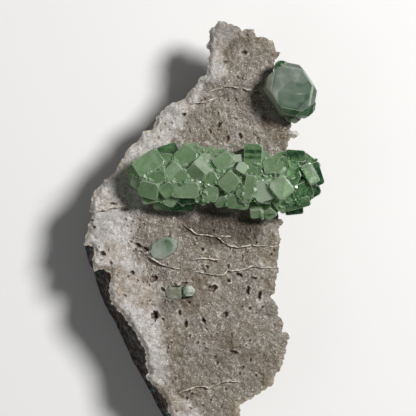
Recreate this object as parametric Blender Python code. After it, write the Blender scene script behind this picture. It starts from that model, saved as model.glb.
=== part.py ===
"""Green apophyllite on drusy chalcedony over basalt.

The specimen lies on the flat back of its basalt. The chalcedony crust covers the top, and the
apophyllite stands on the crust: a fused bar of blocky crystals across the middle, one large crystal
on the upper right edge, and two small ones sunk in the crust below the bar.

All dimensions are in millimetres until a mesh is made, with +Z up and +Y towards the narrow end.
"""

import math
import random
from collections import namedtuple

import bmesh
import bpy
from mathutils import Matrix, Vector, noise
from mathutils.geometry import convex_hull_2d, delaunay_2d_cdt

MM = 0.001

# Driving dimensions, in millimetres
GAP = 0.3                 # between pieces that touch
CONTACT_HEIGHT = 25.0     # flat back to the contact of basalt and crust
CONTACT_SWELL = 1.3       # rise and fall of the contact
CRUST_TOP = 31.0          # flat back to the top of the crust
CRUST_SWELL = 1.0         # rise and fall of the crust's top
DRUSE_RELIEF = 0.35       # height of the druse lumps
EDGE_DROP = 1.6           # how far the crust's top falls at its rim
EDGE_WIDTH = 3.5          # width of that fall
RIM_UNDERCUT = 0.6        # how far the crust's lower edge stands in
TOP_SPACING = 3.1         # between points of the crust's top
CONTACT_SPACING = 9.0     # between points of the contact
LEDGE_RISE = 0.9          # height of a ledge's lip
LEDGE_SLOPE = 7.0         # length of the slope that climbs to the lip
LEDGE_FOOT = 0.5          # from the lip to the foot of its drop
MATRIX_STEP = 4.5         # between points round the basalt
MATRIX_ROUGHNESS = 4.5    # lumps on the broken sides of the basalt
MATRIX_FLANK_CALM = 0.12  # share of the lumps that the straight flank has
MATRIX_CHIPPING = 2.2     # how far the chipped edge of the back stands in
MATRIX_LUMP = 13.0        # size of the lumps
MATRIX_RING_SWELL = 2.0   # rise and fall of the rings that make the sides
MATRIX_FLANK_SPREAD = 3.0  # the foot of the straight flank stands out more than this
MATRIX_LEVELS = [0.84, 0.64, 0.44, 0.26, 0.1, 0.0]  # heights of those rings, as shares
SEAT_HEIGHT = 30.6        # flat place in the crust under the bar and the large crystal
SEAT_REACH = 7.0          # over which the crust levels out towards a seat
POCKET_HEIGHT = 29.2      # floor of the pockets of the small crystals
POCKET_MARGIN = 0.9       # from a small crystal to the lip of its pocket
POCKET_SLOPE = 0.25       # plan width of a pocket's wall
BAR_AXIS_Y = 17.5         # centre line of the bar
BAR_HALF_WIDTH = 14.0
BAR_RISE = 15.5           # seat to the top of the bar
BAR_EDGE_SHARE = 0.2      # keeps the crystals on its long edges up off the crust
BAR_DEPTH = 20.0          # length of the bar's crystals, from their end faces down
OLDER_PITCH = 7.6         # between the lower crystals along the bar
OLDER_COLUMNS = 8
OLDER_START_X = -20.5
OLDER_ROWS = (-6.0, 0.5, 7.0)
OLDER_DROP = 2.2          # how far they stand below the main ones
LARGE_TOP = 44.0          # height of the large crystal's end face
LARGE_DEPTH = 19.0
MIDDLE_TOP = 32.2
LOWER_TOP = 32.0
SMALL_DEPTH = 6.0
PYRAMID_RISE = 1.15       # rise of a pyramid face over its run
OVERHANG_DEPTH = 7.0      # how far crystals past the crust's edge reach below the seat
SEED = 7

# Rim of the crust, clockwise from the narrow end
CRUST_OUTLINE = [
    (7, 85), (11, 83.5), (14, 82.5), (17, 80.5), (20, 81.5), (22, 80.5), (23, 78), (26, 78),
    (29.5, 76), (31.5, 72), (33, 71), (31, 68), (30, 61.5), (31.5, 54.5), (34, 47.5), (37.5, 43.5),
    (37.5, 40.5), (37, 38.3), (38.6, 38.7), (40.4, 37.9), (41, 36.5), (40.2, 35.2), (38.4, 34.8),
    (37, 35.2), (36, 31), (35.5, 23.5), (34, 13), (32, 3), (32, 1.2), (33.4, 1.1), (34.6, 0),
    (34.2, -1.4), (32.6, -1.9), (32, -3.5), (33.5, -7.5), (32, -12.5), (32, -21),
    (31, -25.5), (31, -30.5), (29, -31.5), (31, -33.5), (32, -37), (32, -39.5), (34, -40.5),
    (34, -46), (37, -47.5), (36, -52), (34.5, -58), (33.5, -61.5), (30.5, -65.5), (30.5, -68.5),
    (26.5, -71), (22, -73.5), (19, -76), (16, -77), (16, -81.5), (14, -84), (8, -85), (1, -84),
    (-7, -85), (-13, -83.5), (-14.5, -80), (-15.5, -75), (-18.5, -71.5), (-22, -68.5), (-24, -65),
    (-22.5, -63.5), (-24, -60.5), (-24, -56), (-25.5, -52), (-28, -48), (-31.5, -42.5), (-35, -38),
    (-38.5, -34.5), (-39.5, -29), (-39, -24.5), (-39, -21.5), (-41.5, -20.5), (-45.5, -21),
    (-47, -16), (-45.5, -12.5), (-46.5, -10.5), (-50.5, -10), (-49.5, -7.5), (-48.5, -3),
    (-47, 2.5), (-48, 4), (-47, 7), (-46.5, 11), (-45, 13.5), (-43, 15.5), (-41.5, 17.5),
    (-38, 19.5), (-36, 23.5), (-33.5, 27), (-31, 31.5), (-27.5, 34), (-25, 38), (-22, 38.5),
    (-20.5, 41), (-20, 44), (-17.5, 46), (-14, 49.5), (-10, 51), (-7.5, 51.5), (-6.5, 54), (-3.5, 57),
    (-0.5, 61.5), (1.5, 62), (2, 68), (3, 71), (1, 74), (2.5, 76), (2.5, 80.5), (4.5, 82),
]

# Rim of the basalt where it meets the crust, with the same places at its foot. The long straight
# flank on the -X side spreads towards the foot; the other sides fall in, most at the narrow end.
MATRIX_RIM = [
    ((8, 80), (13, 64)), ((20, 77.5), (18, 63)), ((27, 73), (22, 60)), ((27, 62), (21, 56)),
    ((29, 51), (23, 48)), ((34, 43), (27, 40)), ((33, 30), (28, 28)), ((31, 12), (25, 12)),
    ((29, -3), (25, -3)), ((29, -18), (22, -18)), ((27, -31), (22, -31)),
    ((30, -42), (26, -42)), ((33, -50), (27, -48)), ((30, -62), (24, -58)), ((24, -70), (18, -65)),
    ((14, -75), (11, -71)), ((12, -81), (7, -77)), ((-2, -82), (-4, -81)),
    ((-12, -81), (-16.5, -85.4)), ((-14, -74.5), (-19.5, -80.5)), ((-20.7, -66), (-25.5, -69)),
    ((-22, -58), (-30.5, -60.5)), ((-24, -50.5), (-35, -51)), ((-29.5, -42.5), (-39, -42)),
    ((-36.5, -33.5), (-43, -34.5)), ((-37.5, -25), (-46.5, -25)), ((-37.5, -19.8), (-48, -21)),
    ((-44, -18.3), (-49.5, -17.5)),
    ((-44, -11), (-51, -12)), ((-47.5, -8.2), (-51.5, -9.7)), ((-46.5, -2), (-47, -3)),
    ((-45, 4), (-43.5, 3)), ((-44, 10.5), (-40, 8)), ((-36.5, 17.5), (-34, 15)),
    ((-29, 29), (-27, 27)), ((-23.5, 36.5), (-25, 36.5)), ((-18.8, 39.5), (-23.5, 41)),
    ((-17.5, 43.5), (-17, 42.5)), ((-13, 47.5), (-10, 43)), ((-8, 49.5), (-4, 44)),
    ((-4.5, 52.5), (1, 47)), ((1.5, 59.5), (6.5, 52)), ((4, 68), (9, 57)), ((5, 74), (10, 60)),
    ((4.5, 79), (11, 63)),
]

# Ledges: lips in the crust, each from -X to +X, with the drop on its -Y side
LEDGES = [
    [(1, 53.5), (4.5, 55), (10, 57), (16, 56), (22, 55), (26.5, 56.5)],
    [(-5, 49.5), (0.5, 50), (5.5, 52)],
    [(-47, 3.5), (-43.5, 4.5), (-40, 5.5), (-32.5, 6.5)],
    [(-11.5, 1), (-6, -2.5), (-2.5, -5.5), (5.5, -6), (10.5, -9.5), (15, -11), (20, -10), (32, -10.5)],
    [(-23, -14.5), (-17, -18), (-9.5, -20)],
    [(-4, -16), (2.5, -15.5), (7, -16.5)],
    [(-3.5, -21), (5.5, -22.5), (9, -22.5), (10.5, -20.5), (16, -20.5), (20.5, -19), (31.5, -19.5)],
    [(-10, -72), (-4.5, -70), (-1, -69), (3, -70), (6.5, -68), (11.5, -67), (16, -67.5)],
]

Pit = namedtuple("Pit", "x y half_length half_width turn depth")
PITS = [
    Pit(-20, -39.5, 2.5, 1.5, 90, 3.0),
    Pit(17.5, 71, 1.2, 1.0, 0, 1.5),
    Pit(10.5, 34.5, 1.7, 0.9, 75, 2.0),
    Pit(16, 36, 1.5, 0.8, 110, 1.5),
    Pit(7, 40.5, 1.7, 0.8, 45, 1.5),
    Pit(4, -28, 2.3, 1.4, 10, 2.0),
    Pit(19, -29, 1.9, 0.9, 80, 2.0),
    Pit(24, -31, 2.1, 0.8, 85, 1.8),
    Pit(9.5, -39, 1.7, 1.1, 20, 1.8),
    Pit(-20.5, -24, 2.0, 1.4, 45, 2.0),
    Pit(-29.5, -21.5, 1.2, 0.9, 0, 1.5),
    Pit(13.5, -55, 1.9, 0.8, 45, 1.8),
    Pit(-27, -10, 1.8, 0.9, 150, 1.8),
    Pit(-42, -13.5, 1.6, 1.1, 140, 1.8),
]

# Flat places in the crust, under the bar and the large crystal
BAR_SEAT = [
    (-32, 22), (-25, 30), (-15, 33.5), (-5, 33), (2, 31), (18, 30.5), (26, 32.5), (33, 29.5),
    (33.2, 20), (32, 12), (29.5, 1.5), (24, 1.8), (10, 3.5), (-3, 5), (-8, 3.5), (-20, 4.5),
    (-28, 10), (-31.5, 15),
]
LARGE_SEAT = [(29, 66), (26, 62), (26.5, 54), (29.5, 47), (31.8, 47.5), (29.8, 54), (28.4, 61.5)]
# A crystal is a square prism seen from its end: where its end face lies, how far it is turned about
# Z, its half length and half width, how far it leans, and how far it stands above its neighbours.
Crystal = namedtuple("Crystal", "x y turn half_length half_width lean_x lean_y lift")
BAR_CRYSTALS = [
    # left end
    Crystal(-22.5, 24.5, 33, 6.3, 4.0, 0.15, 0.2, 0.5),
    Crystal(-14.5, 30, 20, 4.4, 2.7, -0.1, 0.5, 0),
    Crystal(-22.5, 13, -10, 4.2, 3.8, -0.3, -0.45, 0),
    Crystal(-27, 17.5, 60, 3.8, 2.9, -0.6, -0.1, -2.5),
    Crystal(-14.5, 13, 40, 3.1, 2.9, 0.1, -0.35, 0),
    Crystal(-12, 20.5, 45, 3.8, 3.4, 0, 0, 0),
    Crystal(-19, 18.5, 10, 3.8, 2.5, -0.1, -0.1, -0.5),
    Crystal(-7, 27.5, 45, 4.2, 4.0, 0.05, 0.2, 0.5),
    Crystal(-5, 31, 10, 3.4, 2.1, 0, 0.5, 0),
    # middle
    Crystal(-3, 20, -43, 3.8, 3.4, -0.45, -0.45, 0.5),
    Crystal(9, 25, 35, 4.0, 3.4, 0.1, 0.2, 0),
    Crystal(3, 29, 45, 2.5, 2.5, 0, 0.6, 0),
    Crystal(-0.5, 29.5, 20, 2.5, 2.1, 0, 0.6, 0),
    Crystal(6.5, 28, 20, 2.9, 2.5, 0, 0.5, 0),
    Crystal(14, 26.5, 10, 2.9, 1.7, 0.1, 0.5, 0),
    Crystal(16.5, 22.5, -33, 2.3, 2.1, 0.1, 0.1, 1.5),
    Crystal(11, 16.5, 45, 4.0, 3.4, 0, -0.05, 1.0),
    Crystal(3.5, 17.5, 30, 2.9, 2.7, -0.1, 0, -0.5),
    Crystal(3.5, 11.5, -15, 2.9, 3.4, 0, -0.35, 0),
    Crystal(0.5, 9.5, 45, 2.9, 2.7, -0.1, -0.6, 0),
    Crystal(-7, 13, 0, 5.5, 3.6, -0.05, -0.4, 0),
    Crystal(-9, 19, -40, 2.9, 2.5, -0.1, 0.1, 0),
    Crystal(8, 8, 20, 2.9, 2.5, 0, -0.7, 0),
    Crystal(15, 8, -10, 4.6, 3.4, 0.05, -0.6, 0),
    Crystal(18, 11.5, 40, 3.4, 3.4, 0, -0.3, 0),
    Crystal(21, 25.5, 86, 7.1, 3.8, 0.05, 0.15, 0.5),
    Crystal(19.5, 14.5, 80, 5.0, 2.1, 0, -0.2, 0),
    # right end
    Crystal(33, 14.2, -51, 4.4, 4.0, 0.1, 0, 1.5),
    Crystal(25.5, 12.5, 20, 4.2, 4.2, -0.1, -0.2, 0),
    Crystal(29.5, 23.5, 10, 4.2, 3.4, 0, 0.5, 0),
    Crystal(35.5, 22.5, -20, 4.6, 4.2, 0.2, 0.3, -1.0),
    Crystal(39, 27.5, 0, 4.2, 2.9, 0.15, 0.6, 0),
    Crystal(45, 20, -60, 4.6, 2.5, 0.25, 0.05, -1.5),
    Crystal(48, 20, -65, 5.0, 2.5, 0.8, 0.1, -5.0),
    Crystal(42, 12.5, 20, 4.2, 3.8, 0.3, -0.2, -2.5),
    Crystal(45.6, 14.2, -62, 4.4, 3.6, 0.5, -0.1, -5.0),
    Crystal(44.4, 24.0, -35, 4.6, 3.6, 0.35, 0.3, -3.5),
    Crystal(40.5, 7.5, 15, 4.6, 2.5, 0.2, -0.6, 0),
    Crystal(34, 7, 45, 3.4, 3.4, 0.1, -0.5, 0),
    Crystal(28, 3, 45, 2.5, 2.5, 0, -0.7, 1.0),
    Crystal(22.5, 3, 10, 2.5, 2.1, 0, -0.7, 1.0),
    # low crystals on the -Y side
    Crystal(-16.5, 6.5, -10, 3.8, 2.1, 0, -0.7, -3.0),
    Crystal(-8.5, 6.5, 0, 5.5, 2.9, 0, -0.8, -1.5),
    Crystal(38.5, 4.5, 5, 3.8, 2.1, 0.1, -0.7, -1.0),
]
LARGE_CRYSTALS = [
    Crystal(37.5, 55.5, -56, 10.2, 8.4, 0.1, 0.08, 0),
    Crystal(42.3, 48.3, -50, 5.0, 5.0, 0.25, -0.2, -3.0),
    Crystal(33, 64.5, -10, 3.0, 3.0, -0.1, 0.3, -5.0),
    Crystal(39, 43, 40, 2.2, 1.8, 0.1, -0.4, -8.0),
    Crystal(37, 43.5, 30, 2.2, 1.8, 0, -0.4, -8.5),
]
MIDDLE_CRYSTALS = [
    Crystal(-16.8, -11.4, 30, 5.2, 3.8, -0.1, 0.05, 0.3),
    Crystal(-13.4, -9.6, 45, 2.8, 2.8, 0.15, 0.1, 0),
]
LOWER_CRYSTALS = [
    Crystal(-12, -30, -10, 3.4, 2.5, -0.1, 0, 0),
    Crystal(-5.7, -29, 5, 2.5, 2.3, 0.2, 0.25, 0.8),
    Crystal(-8.6, -29.2, 30, 2.2, 2.2, 0, 0, 0.2),
]


def clear_scene():
    for item in list(bpy.data.objects):
        bpy.data.objects.remove(item, do_unlink=True)


def make_material(name, colour, roughness, transmission=0.0):
    material = bpy.data.materials.new(name)
    material.use_nodes = True
    shader = material.node_tree.nodes["Principled BSDF"]
    shader.inputs["Base Color"].default_value = (*colour, 1.0)
    shader.inputs["Roughness"].default_value = roughness
    shader.inputs["Metallic"].default_value = 0.0
    shader.inputs["Transmission Weight"].default_value = transmission
    return material


def make_object(name, points, faces, material):
    """A mesh object from points in millimetres, closed and facing outwards."""
    mesh = bpy.data.meshes.new(name)
    mesh.from_pydata([Vector(point) * MM for point in points], [], faces)
    shell = bmesh.new()
    shell.from_mesh(mesh)
    bmesh.ops.remove_doubles(shell, verts=shell.verts, dist=0.00001)
    bmesh.ops.recalc_face_normals(shell, faces=shell.faces)
    shell.to_mesh(mesh)
    shell.free()
    mesh.materials.append(material)
    item = bpy.data.objects.new(name, mesh)
    bpy.context.scene.collection.objects.link(item)
    return item


# Plan geometry

def swell(x, y, size, layer):
    """Smooth noise from about -1 to 1 with lumps of the given size."""
    return noise.noise(Vector((x / size, y / size, 11.7 * layer)))


def smooth(value):
    value = min(max(value, 0.0), 1.0)
    return value * value * (3.0 - 2.0 * value)


def nearest_on_segment(x, y, start, end):
    """Distance to a segment, the share of its length at the foot, and the side (+1 is left)."""
    run_x = end[0] - start[0]
    run_y = end[1] - start[1]
    share = ((x - start[0]) * run_x + (y - start[1]) * run_y) / (run_x ** 2 + run_y ** 2)
    share = min(max(share, 0.0), 1.0)
    away_x = x - start[0] - share * run_x
    away_y = y - start[1] - share * run_y
    side = 1.0 if run_x * away_y - run_y * away_x >= 0.0 else -1.0
    return math.hypot(away_x, away_y), share, side


def distance_to_ring(x, y, ring):
    pairs = zip(ring, ring[1:] + ring[:1])
    return min(nearest_on_segment(x, y, start, end)[0] for start, end in pairs)


def inside_ring(x, y, ring):
    inside = False
    for (x1, y1), (x2, y2) in zip(ring, ring[1:] + ring[:1]):
        if (y1 > y) != (y2 > y) and x < x1 + (y - y1) * (x2 - x1) / (y2 - y1):
            inside = not inside
    return inside


def offset_ring(ring, distance):
    """Each corner moved along its own outward normal, for a ring that runs clockwise."""
    moved = []
    for before, point, after in zip(ring[-1:] + ring[:-1], ring, ring[1:] + ring[:1]):
        along = Vector((after[0] - before[0], after[1] - before[1])).normalized()
        moved.append((point[0] - along.y * distance, point[1] + along.x * distance))
    return moved


def between(start, end, share):
    """The point at that share of the way from start to end."""
    return start[0] + share * (end[0] - start[0]), start[1] + share * (end[1] - start[1])


def resample_line(line, step):
    """Points along an open line, no further apart than step."""
    points = []
    for start, end in zip(line, line[1:]):
        count = max(1, math.ceil(math.dist(start, end) / step))
        points += [between(start, end, index / count) for index in range(count)]
    points.append(line[-1])
    return points


def triangulate(rings, points):
    """Triangles inside the first ring, with the other rings as edges."""
    plan = []
    edges = []
    for ring in rings:
        first = len(plan)
        plan += ring
        edges += [(first + index, first + (index + 1) % len(ring)) for index in range(len(ring))]
    plan += points
    result = delaunay_2d_cdt([Vector(point) for point in plan], edges, [], 1, 1e-5)
    return [tuple(point) for point in result[0]], [tuple(face) for face in result[2]]


def scattered_grid(spacing, jitter, seed):
    """A triangular grid over the whole specimen, each point moved a little."""
    draw = random.Random(seed)
    rows = int(180 / (spacing * 0.866))
    columns = int(110 / spacing)
    points = []
    for row in range(rows):
        for column in range(columns):
            x = -55 + (column + 0.5 * (row % 2)) * spacing + draw.uniform(-jitter, jitter)
            y = -88 + row * spacing * 0.866 + draw.uniform(-jitter, jitter)
            points.append((x, y))
    return points


# Heights

def contact_height(x, y):
    return CONTACT_HEIGHT + CONTACT_SWELL * swell(x, y, 30.0, 1)


def ledge_height(x, y):
    """Climbs to each lip from its +Y side and drops at once on its -Y side."""
    height = 0.0
    for line in LEDGES:
        best = min(
            (nearest_on_segment(x, y, start, end) + (index,)
             for index, (start, end) in enumerate(zip(line, line[1:]))),
            key=lambda found: found[0],
        )
        distance, share, side, index = best
        along = (index + share) / (len(line) - 1)
        end_fade = smooth(min(along, 1.0 - along) * 6.0)
        if side > 0 or distance < 0.01:
            rise = 1.0 - smooth(distance / LEDGE_SLOPE)
            height = max(height, LEDGE_RISE * rise * (0.35 + 0.65 * end_fade))
    return height


def pit_depth(x, y):
    depth = 0.0
    for pit in PITS:
        turn = math.radians(pit.turn)
        along = (x - pit.x) * math.cos(turn) + (y - pit.y) * math.sin(turn)
        across = (y - pit.y) * math.cos(turn) - (x - pit.x) * math.sin(turn)
        radius = math.hypot(along / pit.half_length, across / pit.half_width)
        depth = max(depth, pit.depth * smooth((1.1 - radius) / 0.7))
    return depth


def crust_height(x, y):
    height = CRUST_TOP + CRUST_SWELL * swell(x, y, 38.0, 2) + DRUSE_RELIEF * swell(x, y, 4.0, 3)
    height += ledge_height(x, y) - pit_depth(x, y)
    edge = distance_to_ring(x, y, CRUST_OUTLINE)
    height -= EDGE_DROP * (1.0 - smooth(edge / EDGE_WIDTH))
    for seat in (BAR_SEAT, LARGE_SEAT):
        away = 0.0 if inside_ring(x, y, seat) else distance_to_ring(x, y, seat)
        level = min(height, SEAT_HEIGHT) if away == 0.0 else SEAT_HEIGHT - 0.2
        if away < SEAT_REACH:
            blend = smooth(away / SEAT_REACH)
            height = level + (height - level) * blend
    return height


# Pieces

def build_contact():
    """The basalt's rim and the points inside it, which basalt and crust share."""
    rim = resample_line([pair[0] for pair in MATRIX_RIM] + [MATRIX_RIM[0][0]], MATRIX_STEP)[:-1]
    foot = []
    for start, end in zip(MATRIX_RIM, MATRIX_RIM[1:] + MATRIX_RIM[:1]):
        count = max(1, math.ceil(math.dist(start[0], end[0]) / MATRIX_STEP))
        foot += [between(start[1], end[1], index / count) for index in range(count)]
    grid = [
        point for point in scattered_grid(CONTACT_SPACING, 1.5, SEED + 1)
        if inside_ring(*point, rim) and distance_to_ring(*point, rim) > CONTACT_SPACING * 0.45
    ]
    return rim, foot, grid


def build_basalt(rim, foot, grid, material):
    """A thick slab with a flat back and broken sides."""
    outward = [Vector(far) - Vector(near) for near, far in zip(rim, offset_ring(rim, 1.0))]
    rings = [[(x, y, contact_height(x, y) - GAP) for x, y in rim]]
    for level in MATRIX_LEVELS:
        ring = []
        for top, low, out in zip(rim, foot, outward):
            # The lumps are low on the straight flank, and die away towards the rim
            calm = MATRIX_FLANK_CALM if math.dist(top, low) > MATRIX_FLANK_SPREAD else 1.0
            x, y = between(low, top, level)
            place = Vector((x, y, level * CONTACT_HEIGHT)) / MATRIX_LUMP
            lump = 0.75 * noise.noise(place) + 0.4 * noise.noise(place * 2.7)
            push = MATRIX_ROUGHNESS * calm * lump * smooth((1.0 - level) * 5.0)
            height = CONTACT_HEIGHT * level
            if level == 0.0:
                push -= MATRIX_CHIPPING * max(calm, 0.25) * (1.0 + 1.5 * swell(x, y, 7.0, 6))
            else:
                height += MATRIX_RING_SWELL * swell(x, y, 11.0, 7 + level)
            ring.append((x + push * out.x, y + push * out.y, height))
        rings.append(ring)
    top_points, top_faces = triangulate([rim], grid)
    points = [(x, y, contact_height(x, y) - GAP) for x, y in top_points]
    faces = list(top_faces)
    for upper, lower in zip(rings, rings[1:]):
        first = len(points)
        count = len(upper)
        points += upper + lower
        for index in range(count):
            after = (index + 1) % count
            faces.append((first + index, first + after, first + count + after))
            faces.append((first + index, first + count + after, first + count + index))
    back = [(x, y) for x, y, _ in rings[-1]]
    back_points, back_faces = triangulate([back], [])
    first = len(points)
    points += [(x, y, 0.0) for x, y in back_points]
    faces += [tuple(first + corner for corner in reversed(face)) for face in back_faces]
    return make_object("basalt_matrix", points, faces, material)


def pocket_around(item):
    """The lip of the pocket that a small crystal sits in, clockwise."""
    plan = [Vector((vert.co.x, vert.co.y)) / MM for vert in item.data.vertices]
    hull = [plan[index] for index in convex_hull_2d(plan)]
    area = sum(one.x * two.y - two.x * one.y for one, two in zip(hull, hull[1:] + hull[:1]))
    if area > 0.0:
        hull.reverse()
    spaced = [hull[0]]
    for point in hull[1:]:
        if (point - spaced[-1]).length > 0.7 and (point - spaced[0]).length > 0.7:
            spaced.append(point)
    return offset_ring([tuple(point) for point in spaced], POCKET_MARGIN)


def build_crust(rim, grid, pockets, material):
    """The chalcedony layer: a relief on top, a rough rim, and the contact below."""
    features = []
    for line in LEDGES:
        lip = resample_line(line, 2.6)
        features += lip[1:-1]
        for before, point, after in zip(lip, lip[1:], lip[2:]):
            along = Vector((after[0] - before[0], after[1] - before[1])).normalized()
            features.append((point[0] + along.y * LEDGE_FOOT, point[1] - along.x * LEDGE_FOOT))
    for pit in PITS:
        turn = Matrix.Rotation(math.radians(pit.turn), 2)
        features.append((pit.x, pit.y))
        for corner in range(8):
            angle = math.tau * corner / 8
            spot = turn @ Vector((pit.half_length * math.cos(angle), pit.half_width * math.sin(angle)))
            features.append((pit.x + 1.1 * spot.x, pit.y + 1.1 * spot.y))
            if corner % 2 == 0:
                features.append((pit.x + 0.5 * spot.x, pit.y + 0.5 * spot.y))
    pocket_floors = [offset_ring(pocket, -POCKET_SLOPE) for pocket in pockets]
    rings = [CRUST_OUTLINE, BAR_SEAT, LARGE_SEAT] + pockets + pocket_floors
    features = [
        point for point in features
        if all(distance_to_ring(*point, ring) > 0.9 for ring in rings)
        and not any(inside_ring(*point, pocket) for pocket in pockets)
        and inside_ring(*point, CRUST_OUTLINE)
    ]
    kept = []
    for point in scattered_grid(TOP_SPACING, 0.7, SEED):
        if not inside_ring(*point, CRUST_OUTLINE):
            continue
        if any(inside_ring(*point, pocket) for pocket in pockets):
            continue
        if inside_ring(*point, BAR_SEAT) and distance_to_ring(*point, BAR_SEAT) > 3.0:
            continue
        if any(distance_to_ring(*point, ring) < 1.3 for ring in rings):
            continue
        if any(math.dist(point, feature) < 1.4 for feature in features):
            continue
        kept.append(point)
    plan, top_faces = triangulate(rings, features + kept)
    points = []
    for x, y in plan:
        in_floor = any(
            inside_ring(x, y, floor) or distance_to_ring(x, y, floor) < 0.01 for floor in pocket_floors
        )
        points.append((x, y, POCKET_HEIGHT if in_floor else crust_height(x, y)))
    faces = list(top_faces)

    lower = offset_ring(CRUST_OUTLINE, -RIM_UNDERCUT)
    rim_rings = [[(x, y, crust_height(x, y)) for x, y in CRUST_OUTLINE]]
    for share, inset in ((0.5, 0.1), (1.0, RIM_UNDERCUT)):
        ring = []
        for (x, y), (low_x, low_y) in zip(CRUST_OUTLINE, lower):
            top = crust_height(x, y)
            bottom = contact_height(low_x, low_y)
            height = top + share * (bottom - top)
            slip = inset / RIM_UNDERCUT
            if share < 1.0:
                slip += 0.6 * swell(x, y, 5.0, 8)
                height += 0.7 * swell(x, y, 6.0, 9)
            ring.append((x + slip * (low_x - x), y + slip * (low_y - y), height))
        rim_rings.append(ring)
    for upper, under in zip(rim_rings, rim_rings[1:]):
        first = len(points)
        count = len(upper)
        points += upper + under
        for index in range(count):
            after = (index + 1) % count
            faces.append((first + index, first + after, first + count + after))
            faces.append((first + index, first + count + after, first + count + index))

    below, below_faces = triangulate([lower, rim], grid)
    first = len(points)
    points += [(x, y, contact_height(x, y)) for x, y in below]
    faces += [tuple(first + corner for corner in reversed(face)) for face in below_faces]
    return make_object("chalcedony_crust", points, faces, material)


def crystal_frame(crystal, height):
    """Axes of the prism: its end face's centre and normal, and its length and width."""
    outward = Vector((crystal.lean_x, crystal.lean_y, 1.0)).normalized()
    turn = math.radians(crystal.turn)
    along = Vector((math.cos(turn), math.sin(turn), 0.0))
    along = (along - outward * along.dot(outward)).normalized()
    across = outward.cross(along)
    return Vector((crystal.x, crystal.y, height)), along, across, outward


def cut_corner(solid, crystal, axes, side_x, side_y, rise, cut):
    """Cuts one corner by a plane: a pyramid face if it rises, else a prism face."""
    centre, along, across, outward = axes
    corner = centre + along * side_x * crystal.half_length + across * side_y * crystal.half_width
    normal = (along * side_x + across * side_y + outward * rise).normalized()
    inward = cut * min(crystal.half_length, crystal.half_width)
    everything = list(solid.verts) + list(solid.edges) + list(solid.faces)
    trimmed = bmesh.ops.bisect_plane(
        solid, geom=everything, plane_co=corner - normal * inward, plane_no=normal, clear_outer=True,
    )
    rim = [edge for edge in trimmed["geom_cut"] if isinstance(edge, bmesh.types.BMEdge)]
    bmesh.ops.contextual_create(solid, geom=rim)


def crystal_solid(name, crystal, height, depth, end_cut, side_cut):
    """A square prism whose corners are cut by small faces at its end and along its sides."""
    axes = crystal_frame(crystal, height)
    centre, along, across, outward = axes
    solid = bmesh.new()
    bmesh.ops.create_cube(solid, size=2.0)
    for vert in solid.verts:
        corner = vert.co.copy()
        vert.co = (
            centre
            + along * corner.x * crystal.half_length
            + across * corner.y * crystal.half_width
            + outward * (corner.z - 1.0) * 0.5 * depth
        )
    for side_x, side_y in ((-1, -1), (-1, 1), (1, -1), (1, 1)):
        if side_cut > 0.0:
            cut_corner(solid, crystal, axes, side_x, side_y, 0.0, side_cut)
        cut_corner(solid, crystal, axes, side_x, side_y, PYRAMID_RISE, side_cut + end_cut)
    bmesh.ops.recalc_face_normals(solid, faces=solid.faces)
    for vert in solid.verts:
        vert.co *= MM
    mesh = bpy.data.meshes.new(name)
    solid.to_mesh(mesh)
    solid.free()
    item = bpy.data.objects.new(name, mesh)
    bpy.context.scene.collection.objects.link(item)
    return item


def prism_cutter(name, ring, low, high):
    """An upright prism on a plan outline, used to cut, and left out of the model."""
    plan, plan_faces = triangulate([ring], [])
    count = len(ring)
    points = [(x, y, high) for x, y in plan] + [(x, y, low) for x, y in plan]
    half = len(plan)
    faces = list(plan_faces)
    faces += [tuple(half + corner for corner in reversed(face)) for face in plan_faces]
    first = len(points)
    points += [(x, y, high) for x, y in ring] + [(x, y, low) for x, y in ring]
    for index in range(count):
        after = (index + 1) % count
        faces.append((first + index, first + after, first + count + after))
        faces.append((first + index, first + count + after, first + count + index))
    cutter = make_object(name, points, faces, None)
    cutter.hide_render = True
    cutter.display_type = "WIRE"
    return cutter


def apply_booleans(item):
    """Replaces the object's mesh by the result of its modifiers."""
    depsgraph = bpy.context.evaluated_depsgraph_get()
    mesh = bpy.data.meshes.new_from_object(item.evaluated_get(depsgraph))
    item.modifiers.clear()
    item.data = mesh


def add_boolean(item, other, operation):
    boolean = item.modifiers.new(operation.lower(), "BOOLEAN")
    boolean.operation = operation
    boolean.solver = "EXACT"
    boolean.object = other


def fill_small_voids(shell):
    """Keeps the outer surface, and closes any small void that crystals leave between them."""
    unseen = set(shell.verts)
    groups = []
    while unseen:
        waiting = [unseen.pop()]
        group = []
        while waiting:
            vert = waiting.pop()
            group.append(vert)
            for edge in vert.link_edges:
                other = edge.other_vert(vert)
                if other in unseen:
                    unseen.remove(other)
                    waiting.append(other)
        groups.append(group)
    groups.sort(key=len)
    for group in groups[:-1]:
        bmesh.ops.delete(shell, geom=group, context="VERTS")


def fuse_crystals(name, crystals, heights, depth, end_cut, side_cut, cutters, material):
    """Crystals grown together: one solid, cut where it meets the crust."""
    solids = [
        crystal_solid(f"{name}_{index}", crystal, height, depth, end_cut, side_cut)
        for index, (crystal, height) in enumerate(zip(crystals, heights))
    ]
    body = solids[0]
    for other in solids[1:]:
        add_boolean(body, other, "UNION")
    apply_booleans(body)
    for cutter in cutters:
        add_boolean(body, cutter, "DIFFERENCE")
    apply_booleans(body)
    for item in solids[1:]:
        bpy.data.objects.remove(item, do_unlink=True)
    body.name = name
    body.data.name = name
    shell = bmesh.new()
    shell.from_mesh(body.data)
    fill_small_voids(shell)
    bmesh.ops.triangulate(shell, faces=shell.faces)
    shell.to_mesh(body.data)
    shell.free()
    body.data.materials.clear()
    body.data.materials.append(material)
    return body


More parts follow.
